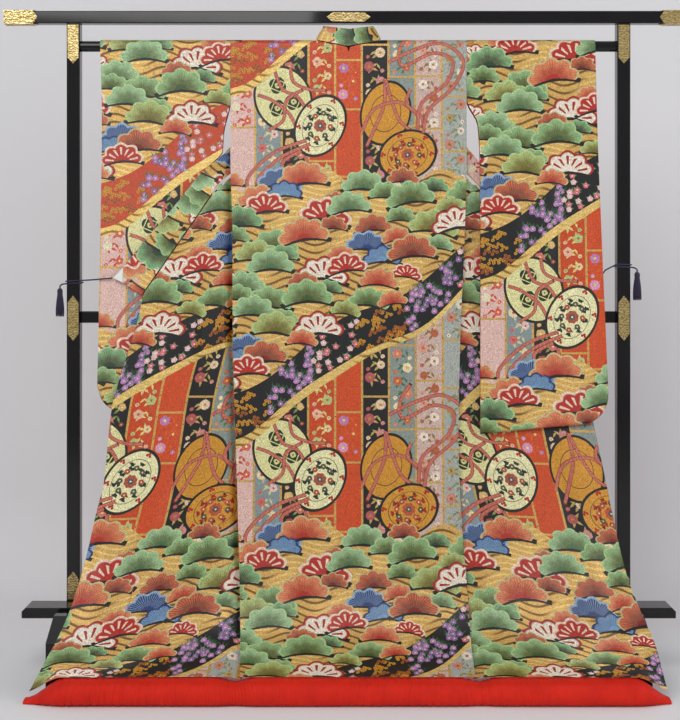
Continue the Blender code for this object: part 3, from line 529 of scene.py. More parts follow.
# ---- Brocade ---------------------------------------------------------------------------------------
# Silk brocade woven with wefts of many colours: every figure is a flat shape in the cloth's own
# coordinates with its own dye, and one satin shader draws the fine work inside it.
PERIOD = 0.966
PLAIN, CLOUD, FAN, STROKES, TWIST, GROUND, BLOSSOM = range(7)
SCALLOP = 0.17
DEPTH_OF_DYE = 1.38
LINING_DEPTH = 0.0017


def dye(code):
    """Linear colour of a 0xRRGGBB shade, deepened as silk in relief is."""
    shade = np.array([(code >> 16) & 255, (code >> 8) & 255, code & 255]) / 255
    return tuple((shade ** (2.2 * DEPTH_OF_DYE)).tolist())


def brocade_figures():
    """Node group: colour and gilding of a point inside a figure, from the figure's own attributes."""
    tree, given, result = new_group(
        "woven_figures", {"Dye": "Color", "Ink": "Color", "Lobes": "Float", "Gilt": "Float", "Figure": "Vector"},
        {"Colour": "Color", "Gilding": "Float"})
    nodes = tree.nodes

    def calc(operation, *inputs):
        """Math node of this group."""
        return value_node(nodes, operation, *inputs)

    def lines(value, share):
        """1 on a share of each turn of the value."""
        return calc("LESS_THAN", calc("FRACT", value), share)

    def wavy(value, swing, across, speed):
        """Sine across the cloth at a speed, bent by a swing times another value."""
        return calc("SINE", calc("MULTIPLY_ADD", value, swing, calc("MULTIPLY", across, speed)))

    def drawn(colour, kind, shade, *masks):
        """Colour with a shade laid on inside figures of one kind, where every mask lets it."""
        share = calc("COMPARE", kind_here, float(kind), 0.4)
        for mask in masks:
            share = calc("MULTIPLY", share, mask)
        return mix_node(nodes, share, colour, shade)

    split = nodes.new("ShaderNodeSeparateXYZ")
    linked(nodes, given["Figure"], split.inputs[0])
    u, v, kind_here = split.outputs
    reach = calc("SQRT", calc("ADD", calc("MULTIPLY", u, u), calc("MULTIPLY", v, v)))
    turn = calc("MULTIPLY", calc("ARCTAN2", u, v), given["Lobes"])
    lobe = calc("ABSOLUTE", calc("COSINE", turn))
    near = calc("DIVIDE", reach, calc("MULTIPLY_ADD", lobe, SCALLOP, 1 - SCALLOP))
    rim = step_node(nodes, near, 0.84, 0.92)
    out = step_node(nodes, near, 0.22, 0.34)
    needle = lines(calc("MULTIPLY", turn, 1.75), 0.30)
    ribs = calc("MULTIPLY", calc("MULTIPLY", needle, out), 0.75)
    stroke = calc("GREATER_THAN", calc("ABSOLUTE", calc("COSINE", calc("MULTIPLY", turn, 1.5))), 0.86)
    held = calc("MULTIPLY", stroke, step_node(nodes, near, 0.34, 0.38))
    strokes = calc("MULTIPLY", held, calc("LESS_THAN", near, 0.74))
    twists = lines(calc("MULTIPLY_ADD", v, 0.6, u), 0.42)
    petals = calc("MAXIMUM", calc("LESS_THAN", near, 0.28), calc("MULTIPLY", lines(turn, 0.16), 0.6))
    wave = wavy(calc("SINE", calc("MULTIPLY", u, 46.0)), 2.9, v, 290.0)
    gleam = wavy(calc("SINE", calc("MULTIPLY_ADD", u, 38.0, 1.0)), 3.4, v, 410.0)
    calm = wavy(v, 23.0, u, 31.0)
    mist = calc("MULTIPLY", step_node(nodes, wave, 0.2, 0.95), step_node(nodes, calm, -0.5, 0.6))
    shine = calc("MULTIPLY", step_node(nodes, gleam, 0.1, 0.9), step_node(nodes, calm, 0.5, -0.7))
    ink = given["Ink"]
    colour = drawn(given["Dye"], CLOUD, ink, step_node(nodes, near, 0.40, 0.86))
    colour = drawn(colour, CLOUD, dye(0xE3D3A0), needle, out, calc("SUBTRACT", 1.0, rim), 0.34)
    colour = drawn(colour, CLOUD, dye(0xCBDFAC), step_node(nodes, near, 0.89, 0.93), 0.6)
    colour = drawn(colour, FAN, ink, calc("MAXIMUM", rim, ribs))
    colour = drawn(colour, STROKES, ink, calc("MAXIMUM", rim, strokes))
    colour = drawn(colour, TWIST, ink, twists)
    colour = drawn(colour, BLOSSOM, ink, petals)
    colour = drawn(colour, GROUND, dye(0xF4DC9C), shine, 0.75)
    colour = drawn(colour, GROUND, ink, mist, 0.85)
    linked(nodes, colour, result["Colour"])
    linked(nodes, given["Gilt"], result["Gilding"])
    return tree


brocade, brocade_shader = principled("brocade", (0.5, 0.4, 0.2), 0.46)
nodes = brocade.node_tree.nodes
figure_node = nodes.new("ShaderNodeGroup")
figure_node.node_tree = brocade_figures()
for name, sockets in (("dye", {"Color": "Dye", "Alpha": "Gilt"}), ("ink", {"Color": "Ink", "Alpha": "Lobes"}),
                      ("figure", {"Vector": "Figure"})):
    source = nodes.new("ShaderNodeAttribute")
    source.attribute_name = name
    for output, socket in sockets.items():
        linked(nodes, source.outputs[output], figure_node.inputs[socket])
here = nodes.new("ShaderNodeTexCoord").outputs["Object"]
stitches = texture_node(nodes, "Noise", here, {"Scale": 380.0, "Detail": 2.0})
twill = texture_node(nodes, "Wave", here, {"Scale": 150.0, "Distortion": 2.0})
twill.bands_direction = "DIAGONAL"
thread = value_node(nodes, "MULTIPLY_ADD", twill.outputs["Fac"], 0.16, stitches.outputs["Fac"])
shading = nodes.new("ShaderNodeMapRange")
linked(nodes, thread, shading.inputs["Value"])
for socket, value in (("From Min", 0.38), ("From Max", 0.80), ("To Min", 0.50), ("To Max", 1.32)):
    shading.inputs[socket].default_value = value
threads = nodes.new("ShaderNodeVectorMath")
threads.operation = "SCALE"
linked(nodes, figure_node.outputs["Colour"], threads.inputs[0])
linked(nodes, shading.outputs["Result"], threads.inputs["Scale"])
linked(nodes, threads.outputs["Vector"], brocade_shader.inputs["Base Color"])
put_relief(nodes, thread, 0.5, 0.0005, brocade_shader)
linked(nodes, value_node(nodes, "MULTIPLY", figure_node.outputs["Gilding"], 0.55), brocade_shader.inputs["Metallic"])
brocade_shader.inputs["Sheen Weight"].default_value = 0.12
brocade_shader.inputs["Sheen Roughness"].default_value = 0.4


def matrix(x, y, width, height=None, turn=0.0):
    """Affine map from a figure's own coordinates (right, up) to the cloth's (x right, y down)."""
    height = width if height is None else height
    c, s = math.cos(math.radians(turn)), math.sin(math.radians(turn))
    return np.array(((width * c, -height * s, x), (-width * s, -height * c, y), (0.0, 0.0, 1.0)))


def refined(outline, step):
    """Outline with points added so that no side is longer than the step."""
    points = np.asarray(outline, dtype=float)
    ends = np.roll(points, -1, axis=0)
    pieces = np.maximum(np.ceil(np.linalg.norm(ends - points, axis=1) / step), 1).astype(int)
    return np.concatenate([a + (b - a) * np.arange(n)[:, None] / n for a, b, n in zip(points, ends, pieces)])


def scalloped(lobes, count, opening=math.pi):
    """Points of a rim of rounded lobes, radius 1 - d (1 - |cos(lobes angle)|) with the angle measured from up."""
    angle = np.linspace(-opening, opening, count, endpoint=opening < math.pi)
    radius = 1 - SCALLOP * (1 - np.abs(np.cos(lobes * angle)))
    return np.column_stack((radius * np.sin(angle), radius * np.cos(angle)))


def oval(count):
    """Points of a unit circle."""
    angle = np.linspace(0, 2 * math.pi, count, endpoint=False)
    return np.column_stack((np.cos(angle), np.sin(angle)))


NEEDLE = np.array(((0.4, -1.0), (0.0, 1.0), (-0.4, -1.0)))
LEAF = np.array(((0.0, -1.0), (0.32, -0.45), (0.36, 0.1), (0.2, 0.6), (0.0, 1.0), (-0.2, 0.6), (-0.36, 0.1),
                 (-0.32, -0.45)))
PINE_CLOUD = np.concatenate((scalloped(4.5, 37, math.radians(100)), ((0.45, -0.02), (0.0, 0.06), (-0.45, -0.02))))
figures = []


def figure(to_cloth, outline, shade, ink=0, kind=PLAIN, lobes=0.0, gilt=0.0, band=False):
    """Adds one figure to the pattern, over those already there."""
    points = np.column_stack((outline, np.ones(len(outline)))) @ to_cloth[:2].T
    figures.append({"points": refined(wound(points), 0.02), "from_cloth": np.linalg.inv(to_cloth),
                    "dye": (*dye(shade), gilt), "ink": (*dye(ink), lobes), "kind": kind, "band": band})


def wound(points):
    """Outline turned to run anticlockwise."""
    x, y = points.T
    return points if (x * np.roll(y, -1) - y * np.roll(x, -1)).sum() > 0 else points[::-1]


def perimeter(rows, columns):
    """Unit square points round the edge of a grid of columns and rows."""
    u, v = np.asarray(columns), np.asarray(rows)
    return np.concatenate((np.column_stack((u[:-1], np.full(len(u) - 1, v[0]))),
                           np.column_stack((np.full(len(v) - 1, u[-1]), v[:-1])),
                           np.column_stack((u[:0:-1], np.full(len(u) - 1, v[-1]))),
                           np.column_stack((np.full(len(v) - 1, u[0]), v[:0:-1]))))


def covered(outline, points):
    """Numbers of the points inside an outline: a line to the right of each crosses it an odd number of times.

    The points come in order of y.
    """
    (left, low), (right, high) = outline.min(axis=0), outline.max(axis=0)
    first, last = np.searchsorted(points[:, 1], (low, high))
    near = first + np.flatnonzero((points[first:last, 0] > left) & (points[first:last, 0] < right))
    x, y = points[near, 0, None], points[near, 1, None]
    (x1, y1), (x2, y2) = outline.T, np.roll(outline, -1, axis=0).T
    crossed = ((y1 > y) != (y2 > y)) & (x < x1 + (y - y1) * (x2 - x1) / np.where(y1 == y2, 1.0, y2 - y1))
    return near[crossed.sum(axis=1) % 2 == 1]


def outward(surface, x, y, sign):
    """Unit normals of a surface, on the side that the sign picks."""
    step = 0.0008
    normal = np.cross(surface(x + step, y) - surface(x - step, y), surface(x, y + step) - surface(x, y - step))
    return sign * normal / np.maximum(np.linalg.norm(normal, axis=1, keepdims=True), 1e-12)


def put_brocade(name, chart, surface, rows, columns, sign, shift=0.0, lift=0.0, red_above=-9.0):
    """Woven sheet: the pattern's figures are cut to the chart's outline, and every point lies on the surface.

    chart turns unit coordinates into the cloth's own, and surface turns those into places. Flower banks of repeats
    that start above red_above are red.
    """
    border = wound(np.column_stack(chart(*perimeter(rows, columns).T)))
    inner_u, inner_v = np.meshgrid(columns[1:-1], rows[1:-1])
    inside = np.column_stack(chart(inner_u.ravel(), inner_v.ravel()))
    low, high = border.min(axis=0), border.max(axis=0)
    chosen = []
    moved = []
    first = int(math.floor((low[1] + shift) / PERIOD)) - 1
    last = int(math.floor((high[1] + shift) / PERIOD)) + 1
    for item in figures:
        for turn in range(first, last + 1):
            points = item["points"] + (0.0, turn * PERIOD - shift)
            if (points.max(axis=0) > low).all() and (points.min(axis=0) < high).all():
                chosen.append((item, turn * PERIOD - shift))
                moved.append(points)
    verts = np.concatenate([border, inside] + moved)
    starts = np.cumsum([len(border) + len(inside)] + [len(points) for points in moved])
    outlines = [list(range(len(border)))]
    outlines += [list(range(a, a + len(points))) for a, points in zip(starts, moved)]
    cut = delaunay_2d_cdt([Vector(point) for point in verts.tolist()], [], outlines, 1, 1e-6, True)
    flat = np.array([tuple(point) for point in cut[0]])
    faces = np.array(cut[2])
    faces = faces[np.argsort(flat[faces, 1].mean(axis=1))]
    faces = faces[covered(border, flat[faces].mean(axis=1))]
    middles = flat[faces].mean(axis=1)
    top = np.full(len(faces), -1)
    for number, points in enumerate(moved):
        top[covered(points, middles)] = number
    corners = flat[faces]
    ahead, beside = corners[:, 1] - corners[:, 0], corners[:, 2] - corners[:, 0]
    area = ahead[:, 0] * beside[:, 1] - ahead[:, 1] * beside[:, 0]
    faces = np.where((area * sign > 0)[:, None], faces, faces[:, ::-1])
    good = np.abs(area) > 1e-12
    faces, top = faces[good], top[good]
    used, faces = np.unique(faces, return_inverse=True)
    faces = faces.reshape(-1, 3)
    flat = flat[used]
    normals = outward(surface, flat[:, 0], flat[:, 1], sign)
    points = surface(flat[:, 0], flat[:, 1]) + normals * lift
    piece = put_mesh(name, points, faces, brocade)
    plain = {"from_cloth": np.eye(3), "dye": (*dye(0xC79A4B), 0.6), "ink": (*dye(0x8F6A2A), 0.0), "kind": GROUND,
             "band": False}
    chosen.append((plain, 0.0))
    back = np.array([item["from_cloth"] for item, low in chosen])
    drop = np.array([low for item, low in chosen])
    at_corner = flat[faces] - np.stack((0 * top, drop[top]), axis=1)[:, None, :]
    local = np.einsum("fij,fkj->fki", back[top][:, :2, :2], at_corner) + back[top][:, None, :2, 2]
    kinds = np.array([item["kind"] for item, low in chosen], dtype=float)[top]
    local = np.concatenate((local, np.repeat(kinds[:, None, None], 3, axis=1)), axis=2)
    mesh = piece.data
    red = (*dye(BANK_RED), 0.0)
    dyes = np.array([red if item["band"] and low < red_above else item["dye"] for item, low in chosen])[top]
    inks = np.array([item["ink"] for item, low in chosen])[top]
    for label, kind, values in (("dye", "FLOAT_COLOR", np.repeat(dyes, 3, axis=0)), ("ink", "FLOAT_COLOR", np.repeat(
            inks, 3, axis=0)), ("figure", "FLOAT_VECTOR", local.reshape(-1, 3))):
        layer = mesh.attributes.new(label, kind, "CORNER")
        layer.data.foreach_set("vector" if kind == "FLOAT_VECTOR" else "color", values.ravel())
    size = (flat.max(axis=0) - flat.min(axis=0)).max()
    placed = (flat[faces].reshape(-1, 2) - flat.min(axis=0)) / size
    if sign > 0:
        placed[:, 1] = 1 - placed[:, 1]
    mesh.uv_layers.new(name="OFBake").data.foreach_set("uv", placed.ravel())
    mesh.normals_split_custom_set_from_vertices(normals.tolist())
    return piece


def put_backing(name, chart, surface, rows, columns, sign, depth, material, whole=True):
    """Sheet behind a brocade one, with a narrow turned edge that closes the gap between them all round.

    Without the whole of it, only the turned edge is made.
    """
    u, v = np.meshgrid(columns, rows)
    x, y = chart(u.ravel(), v.ravel())
    inward = -outward(surface, x, y, sign)
    outer = surface(x, y)
    across, down = len(columns), len(rows)
    cells = np.arange(across * down).reshape(down, across)
    rim = np.concatenate((cells[0, :-1], cells[:-1, -1], cells[-1, :0:-1], cells[:0:-1, 0]))
    points = np.concatenate((outer + inward * depth, outer[rim] + inward[rim] * 0.00005))
    following = np.roll(rim, -1)
    edge = len(outer) + np.arange(len(rim))
    faces = [tuple(face) for face in np.stack((rim, following, np.roll(edge, -1), edge), axis=1)]
    if whole:
        faces += [tuple(face) for face in grid_faces(down, across)]
    else:
        kept = np.concatenate((rim, edge))
        points = points[kept]
        count = len(rim)
        faces = [(k, (k + 1) % count, count + (k + 1) % count, count + k) for k in range(count)]
    return put_mesh(name, points, faces, material)


def hung(piece, slot, chart, rows, columns, *nodes):
    """Attaches a hung sheet, cut to its chart's outline, to the frame, and hides the CAD nodes that it stands for."""
    x, y = chart(*perimeter(rows, columns).T)
    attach(piece, "root")
    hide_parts(*nodes)


def dressed(name, chart, surface, rows, columns, sign, nodes, shift=0.0, red_above=-9.0):
    """Brocade sheet with its red lining."""
    outer = put_brocade(f"silk_{name}", chart, surface, rows, columns, sign, shift, red_above=red_above)
    hung(outer, "brocade", chart, rows, columns, *nodes)
    inner = put_backing(f"lining_{name}", chart, surface, rows, columns, sign, LINING_DEPTH, lining_silk)
    hung(inner, "red_silk", chart, rows, columns, *nodes)


lining_silk = silk("lining_silk", (0.50, 0.018, 0.008), (0.68, 0.035, 0.014), 0.45, 700.0, 0.25)

# ---- The pattern -----------------------------------------------------------------------------------
# One repeat, 0.66 m across both widths and 0.966 m long: upright striped strips strewn with flowers under
# pairs of hand drums and their looped cords, a slanting flower bank with a gilt edge, and between them
# cloud pines over gilded mist.
STRIPE = 0.0733
BANK_RED = 0xD0602F
BANK_TOP, BANK_SLOPE = 1.05, -0.615
layout = np.random.default_rng(7)
GOLD = 0xD9B978
FINE_FLOWER = 0.0078
TWIST_PITCH = 0.0042
STRIPS_TOP, STRIPS_LOW = 0.60, 1.42


def block(left, top, right, low):
    """Outline of a rectangle."""
    return np.array(((left, top), (right, top), (right, low), (left, low)))


def between(x, top, low):
    """Outline of what lies between two lines across the cloth."""
    return np.concatenate((np.column_stack((x, top)), np.column_stack((x, low))[::-1]))


def blossom(to_cloth, petals, shade, heart, size, x=0.0, y=0.0):
    """Round flower of petals with a coloured heart."""
    points = (4 if size > FINE_FLOWER else 2) * petals
    at = to_cloth @ np.array(((size, 0, x), (0, size, y), (0, 0, 1.0)))
    figure(at, scalloped(petals / 2, points + 1)[:-1], shade, heart, BLOSSOM, petals / 2)


def leaf(to_cloth, shade, length, width, turn, x=0.0, y=0.0, outline=LEAF[::2]):
    """Pointed leaf growing from a point in the direction of the turn, in degrees from up."""
    c, s = math.cos(math.radians(turn)), math.sin(math.radians(turn))
    figure(to_cloth @ np.array(((width * c, length * s / 2, x + length * s / 2),
                                (-width * s, length * c / 2, y + length * c / 2), (0, 0, 1.0))), outline, shade)


def strip_of(path, width):
    """Outline of a band of even width along a path."""
    path = np.asarray(path, dtype=float)
    along = headings(path)
    aside = np.column_stack((-along[:, 1], along[:, 0])) * np.reshape(width, (-1, 1)) / 2
    return np.concatenate((path + aside, (path - aside)[::-1]))


def distances(path):
    """Way along a path to each of its points."""
    return np.concatenate(([0.0], np.cumsum(np.linalg.norm(np.diff(path, axis=0), axis=1))))


def smooth_path(points, count):
    """Even points along a Catmull-Rom curve through a few given ones."""
    points = np.asarray(points, dtype=float)
    at = np.linspace(0, len(points) - 1, 12 * len(points))
    last = len(points) - 1
    i = np.clip(np.floor(at).astype(int), 0, last - 1)
    t = (at - i)[:, None]
    a, b, c, d = (points[np.clip(i + k, 0, last)] for k in (-1, 0, 1, 2))
    fine = b + 0.5 * t * (c - a + t * (2 * a - 5 * b + 4 * c - d + t * (3 * (b - c) + d - a)))
    way = distances(fine)
    even = np.linspace(0, way[-1], count)
    return np.column_stack((np.interp(even, way, fine[:, 0]), np.interp(even, way, fine[:, 1])))


flat_cloth = np.eye(3)
# ground shade, flower shades, heart, leaf shade of each strip from the left
STRIPS = (
    (0xE7C9C0, (0xE05A33, 0xD8694E, 0xE9E2C8), 0xF4E7C0, 0xD9603C, 5),
    (0x9DAAAA, (0xF0D8D0, 0xD98A86, 0xF0E3C0), 0xC7602F, 0xE3D6A8, 16),
    (0x231D20, (0xB4303A, 0xE2C089, 0xD8807C), 0xE9D9A0, 0x9AA869, 5),
    (0xD4642C, (0xF0E0B4, 0xC9D39A, 0xF2C9B4), 0xB98A3C, 0xE7D796, 5),
    (0xDA682C, (0xC58CC4, 0xD9491F, 0xE0A6CE), 0xF2D98C, 0xE07A3C, 12),
    (0x241D1E, (0xDFA0A6, 0xEED9C0, 0xC46A78), 0xC9A64A, 0xCDB877, 16),
    (0xA0A9A2, (0xE0928A, 0xF1E2C6, 0xCF6E5C), 0xE8C95E, 0x5E8A5A, 5),
    (0xD8C2B8, (0xF3E8DC, 0xC9785A, 0xE7B0A4), 0xB78D46, 0xA8884F, 10),
    (0xB9BDB6, (0xEADFD2, 0xD9A08C, 0xC7B27A), 0x9C7A3E, 0x98A078, 5),
)
for number, (ground, shades, heart, green, petals) in enumerate(STRIPS):
    left = number * STRIPE
    figure(flat_cloth, np.array(((left, 0.60), (left + STRIPE, 0.60), (left + STRIPE, 1.42), (left, 1.42))), ground)
    breaks = [0.60 + 0.035 * layout.random()]
    while breaks[-1] < 1.40:
        breaks.append(breaks[-1] + 0.13 + 0.11 * layout.random())
    for row, (top, low) in enumerate(zip(breaks[:-1], breaks[1:])):
        if (number, row % 4) in ((0, 3), (4, 1), (4, 3), (6, 2), (8, 1), (3, 3)):
            continue
        y = top + 0.022
        turn = layout.integers(2)
        while y < low - 0.014:
            side = 1 if turn % 2 else -1
            x = left + STRIPE * (0.5 + side * (0.17 + 0.06 * layout.random()))
            size = 0.0105 + 0.0045 * layout.random()
            for k in range(3):
                leaf(matrix(x, y, 1.0), green, 0.018 + 0.006 * layout.random(), 0.010,
                     95 * -side + 70 * k - 60 + 30 * layout.random(), -side * 0.004, -0.002)
            leaf(matrix(left + STRIPE * (0.5 - side * 0.2), y + 0.008, 1.0), green, 0.020, 0.009,
                 35 * side + 20 * layout.random())
            blossom(matrix(x, y, 1.0, turn=360 * layout.random()), petals if turn % 3 else 5, shades[turn % 3],
                    heart, size)
            blossom(matrix(left + STRIPE * (0.5 - side * 0.27), y + 0.012, 1.0), 5, shades[(turn + 1) % 3],
                    heart, 0.0062)
            y += 0.034 + 0.006 * layout.random()
            turn += 1
    for y in breaks[1:-1]:
        figure(flat_cloth, block(left, y - 0.0028, left + STRIPE, y + 0.0028), GOLD, gilt=0.7)
for number in range(10):
    x = number * STRIPE
    figure(flat_cloth, block(x - 0.0030, STRIPS_TOP, x + 0.0030, STRIPS_LOW), GOLD, gilt=0.7)
    for y in np.arange(0.62 + 0.02 * (number % 3), 1.41, 0.058):
        figure(matrix(x, y, 0.0021), oval(4), 0xB23A2C)


def cord_loop(points, shade=0xB83C2E, light=0xEBB09A, width=0.0080):
    """Twisted cord of a drum, laid along a path as short twilled lengths."""
    path = smooth_path(points, 9 * len(points))
    way = distances(path)
    figure(flat_cloth, strip_of(path, width + 0.0022), 0x8E2A22)
    for k in range(0, len(path) - 2, 2):
        a, b = path[k], path[k + 2]
        along = (b - a) / np.linalg.norm(b - a)
        aside = np.array((-along[1], along[0]))
        to_cloth = np.eye(3)
        to_cloth[:2, 0] = along * TWIST_PITCH
        to_cloth[:2, 1] = aside * width / 2
        start = way[k] / TWIST_PITCH
        to_cloth[:2, 2] = (a + b) / 2 - to_cloth[:2, 0] * (start + (way[k + 2] - way[k]) / (2 * TWIST_PITCH))
        length = (way[k + 2] - way[k]) / TWIST_PITCH * 1.08
        figure(to_cloth, block(start, -1, start + length, 1), shade, light, TWIST)


def drum_head(x, y, width, height, turn, skin, rim, ring, medal, gilt=0.0):
    """Lacquered drum head: dark rim, skin, a thin ring and a medallion of small flowers, knots on the rim."""
    at = matrix(x, y, 1.0, turn=turn)
    for grown, shade, shine in ((1.0, rim, 0.0), (0.91, skin, gilt)):
        figure(at @ np.diag((width * grown, height * grown, 1.0)), oval(44), shade, gilt=shine)
    figure(at @ np.diag((width * 0.68, height * 0.68, 1.0)), oval(36), ring)
    figure(at @ np.diag((width * 0.66, height * 0.66, 1.0)), oval(36), skin, gilt=gilt)
    for k, angle in enumerate(np.linspace(0, 4 * math.pi, 36, endpoint=False)):
        out = 0.36 if k < 18 else 0.50
        u, v = out * width * math.cos(angle), out * height * math.sin(angle)
        toward = math.degrees(math.atan2(u, v)) + (70 if k % 2 else -70)
        leaf(at, medal[2 if k % 4 else 1], 0.017, 0.012, toward, u, v)
    for k, angle in enumerate(np.linspace(0.3, 0.3 + 2 * math.pi, 8, endpoint=False)):
        u, v = 0.40 * width * math.cos(angle), 0.40 * height * math.sin(angle)
        blossom(at, 5, medal[k % 3], 0xF2E4B0, 0.0080, u, v)
    blossom(at, 8, medal[0], 0xF2E4B0, min(width, height) * 0.27)
    blossom(at, 6, medal[1], 0xF7EFD2, min(width, height) * 0.13)
    for angle in np.radians((25, 90, 155, 205, 270, 335)):
        u, v = 0.82 * width * math.cos(angle), 0.82 * height * math.sin(angle)
        for dx, dy in ((0.0042, 0.0), (-0.0042, 0.0), (0.0, 0.0048)):
            figure(at @ np.array(((0.0040, 0, u + dx), (0, 0.0040, v + dy), (0, 0, 1.0))), oval(6), 0xC23A2E)


def drum_body(x, y, width, height, turn, skin, rim, mark, gilt=0.0):
    """Far head of a drum, seen at a slant: rim, skin, and three lozenge crests or an inner ring."""
    at = matrix(x, y, 1.0, turn=turn)
    for grown, shade, shine in ((1.0, rim, 0.0), (0.92, skin, gilt)):
        figure(at @ np.diag((width * grown, height * grown, 1.0)), oval(44), shade, gilt=shine)
    if mark is None:
        figure(at @ np.diag((width * 0.60, height * 0.58, 1.0)), oval(32), 0x6B4A1C)
        figure(at @ np.diag((width * 0.575, height * 0.555, 1.0)), oval(32), skin, gilt=gilt)
        return
    for u, v in ((0.0, 0.42), (-0.30, -0.20), (0.30, -0.20)):
        crest = at @ matrix(u * width, v * height, 0.0215, turn=45)
        square = np.array(((-1, -1), (1, -1), (1, 1), (-1, 1.0)))
        figure(crest, scalloped(2.0, 24)[:-1] * 1.12, mark)
        figure(crest @ np.diag((0.72, 0.72, 1.0)), square, 0xE6E0A4)
        figure(crest @ np.diag((0.60, 0.60, 1.0)), square, mark)
        blossom(crest, 4, 0xE6E0A4, mark, 0.40)


DY = PERIOD
drum_body(0.150, DY + 0.175, 0.080, 0.094, 22, 0xE6E2B0, 0x3A2E18, 0x1F4A2C)
drum_body(0.432, DY + 0.215, 0.070, 0.092, -14, 0xDBA94C, 0x1E1A18, None, 0.35)
for path in (((0.125, DY + 0.095), (0.150, DY + 0.150), (0.190, DY + 0.170), (0.225, DY + 0.225)),
             ((0.080, DY + 0.165), (0.120, DY + 0.180), (0.165, DY + 0.215), (0.190, DY + 0.262)),
             ((0.170, DY + 0.090), (0.180, DY + 0.130), (0.225, DY + 0.150), (0.270, DY + 0.152)),
             ((0.110, DY + 0.262), (0.150, DY + 0.235), (0.160, DY + 0.180), (0.205, DY + 0.150)),
             ((0.430, DY + 0.120), (0.428, DY + 0.190), (0.405, DY + 0.250), (0.378, DY + 0.310)),
             ((0.432, DY + 0.122), (0.448, DY + 0.180), (0.470, DY + 0.235), (0.500, DY + 0.262)),
             ((0.365, DY + 0.270), (0.400, DY + 0.205), (0.470, DY + 0.185), (0.520, DY + 0.222)),
             ((0.500, DY + 0.150), (0.490, DY + 0.190), (0.530, DY + 0.225), (0.535, DY + 0.255))):
    cord_loop(path, width=0.0075)
drum_head(0.252, DY + 0.250, 0.068, 0.092, -28, 0xEDE9C0, 0x3A2E18, 0x7A6A3A, (0xB52F2A, 0x23304E, 0x1F4A2C))
drum_head(0.492, DY + 0.330, 0.084, 0.068, 22, 0xDDAC50, 0x1B1817, 0x5A3A18, (0xC6402A, 0x2A2428, 0xB3381F), 0.3)
for path in (((0.215, DY + 0.290), (0.125, DY + 0.325), (0.052, DY + 0.400), (0.085, DY + 0.470), (0.200, DY + 0.470),
              (0.280, DY + 0.480), (0.300, DY + 0.540)),
             ((0.225, DY + 0.300), (0.140, DY + 0.340), (0.080, DY + 0.405), (0.110, DY + 0.452), (0.205, DY + 0.450),
              (0.262, DY + 0.490), (0.245, DY + 0.545)),
             ((0.200, DY + 0.320), (0.150, DY + 0.350), (0.165, DY + 0.392), (0.215, DY + 0.380),
              (0.212, DY + 0.335)),
             ((0.520, DY + 0.262), (0.530, DY + 0.190), (0.600, DY + 0.130), (0.615, DY + 0.070), (0.560, DY + 0.050),
              (0.480, DY + 0.085), (0.470, DY + 0.040), (0.500, DY - 0.010)),
             ((0.535, DY + 0.270), (0.552, DY + 0.205), (0.620, DY + 0.140), (0.645, DY + 0.070), (0.585, DY + 0.022),
              (0.500, DY + 0.045), (0.440, DY + 0.075)),
             ((0.020, DY + 0.120), (0.050, DY + 0.060), (0.030, DY + 0.000), (0.060, DY - 0.020))):
    cord_loop(path)

# Mist ground between the bank above and the drums below, with its wavy brown lines.
x = np.linspace(-0.01, 0.67, 35)
mist_top = 0.400 + 0.022 * np.sin(17 * x + 0.6) + 0.012 * np.sin(41 * x)
bank = BANK_TOP + BANK_SLOPE * x + 0.020 * np.sin(16 * x)
figure(flat_cloth, between(x, mist_top, bank + 0.02), 0xE0BE7C, 0x74501E, GROUND, gilt=0.5)

# Flower bank: black, with gold blossoms, irises, bush clover and plum in turn along it.
upper, lower = bank - 0.060, bank + 0.062 + 0.010 * np.sin(23 * x + 1)
figure(flat_cloth, between(x, upper, lower), 0x1F1A1C, band=True)
for k in range(180):
    px = 0.66 * layout.random()
    height = 0.108 * layout.random() - 0.052
    py = BANK_TOP + BANK_SLOPE * px + 0.020 * math.sin(16 * px) + height
    zone = (px * 7.0 + 0.6 * math.sin(3 * px)) % 3
    if zone < 1:
        for dx, dy in ((0, 0), (0.009, 0.003), (-0.004, 0.009)):
            blossom(matrix(px + dx, py + dy, 1.0), 5, 0xD9A83B if k % 3 else 0xB9772A, 0x6B3A14, 0.0052)
    elif zone < 2:
        for turn in (-35, 0, 30):
            leaf(matrix(px, py, 1.0), 0x4E8A4A, 0.024, 0.0042, turn + 20 * layout.random())
        blossom(matrix(px, py - 0.004, 1.0), 3, 0xC08CCB if k % 2 else 0x9A6FB8, 0xEBD9A0, 0.0088)
    else:
        for turn in (-70, 0, 75):
            leaf(matrix(px, py, 1.0), 0x6E9A58, 0.014, 0.0070, turn + 15 * layout.random())
        blossom(matrix(px, py, 1.0), 5, 0xE9C6CC if k % 2 else 0xD8738E, 0xF4E9C8, 0.0082)
ribbon = between(x, lower - 0.006, lower + 0.016 + 0.006 * np.sin(9 * x))
figure(flat_cloth, ribbon, 0xEAD08C, 0x9A6E2A, GROUND, gilt=0.7)

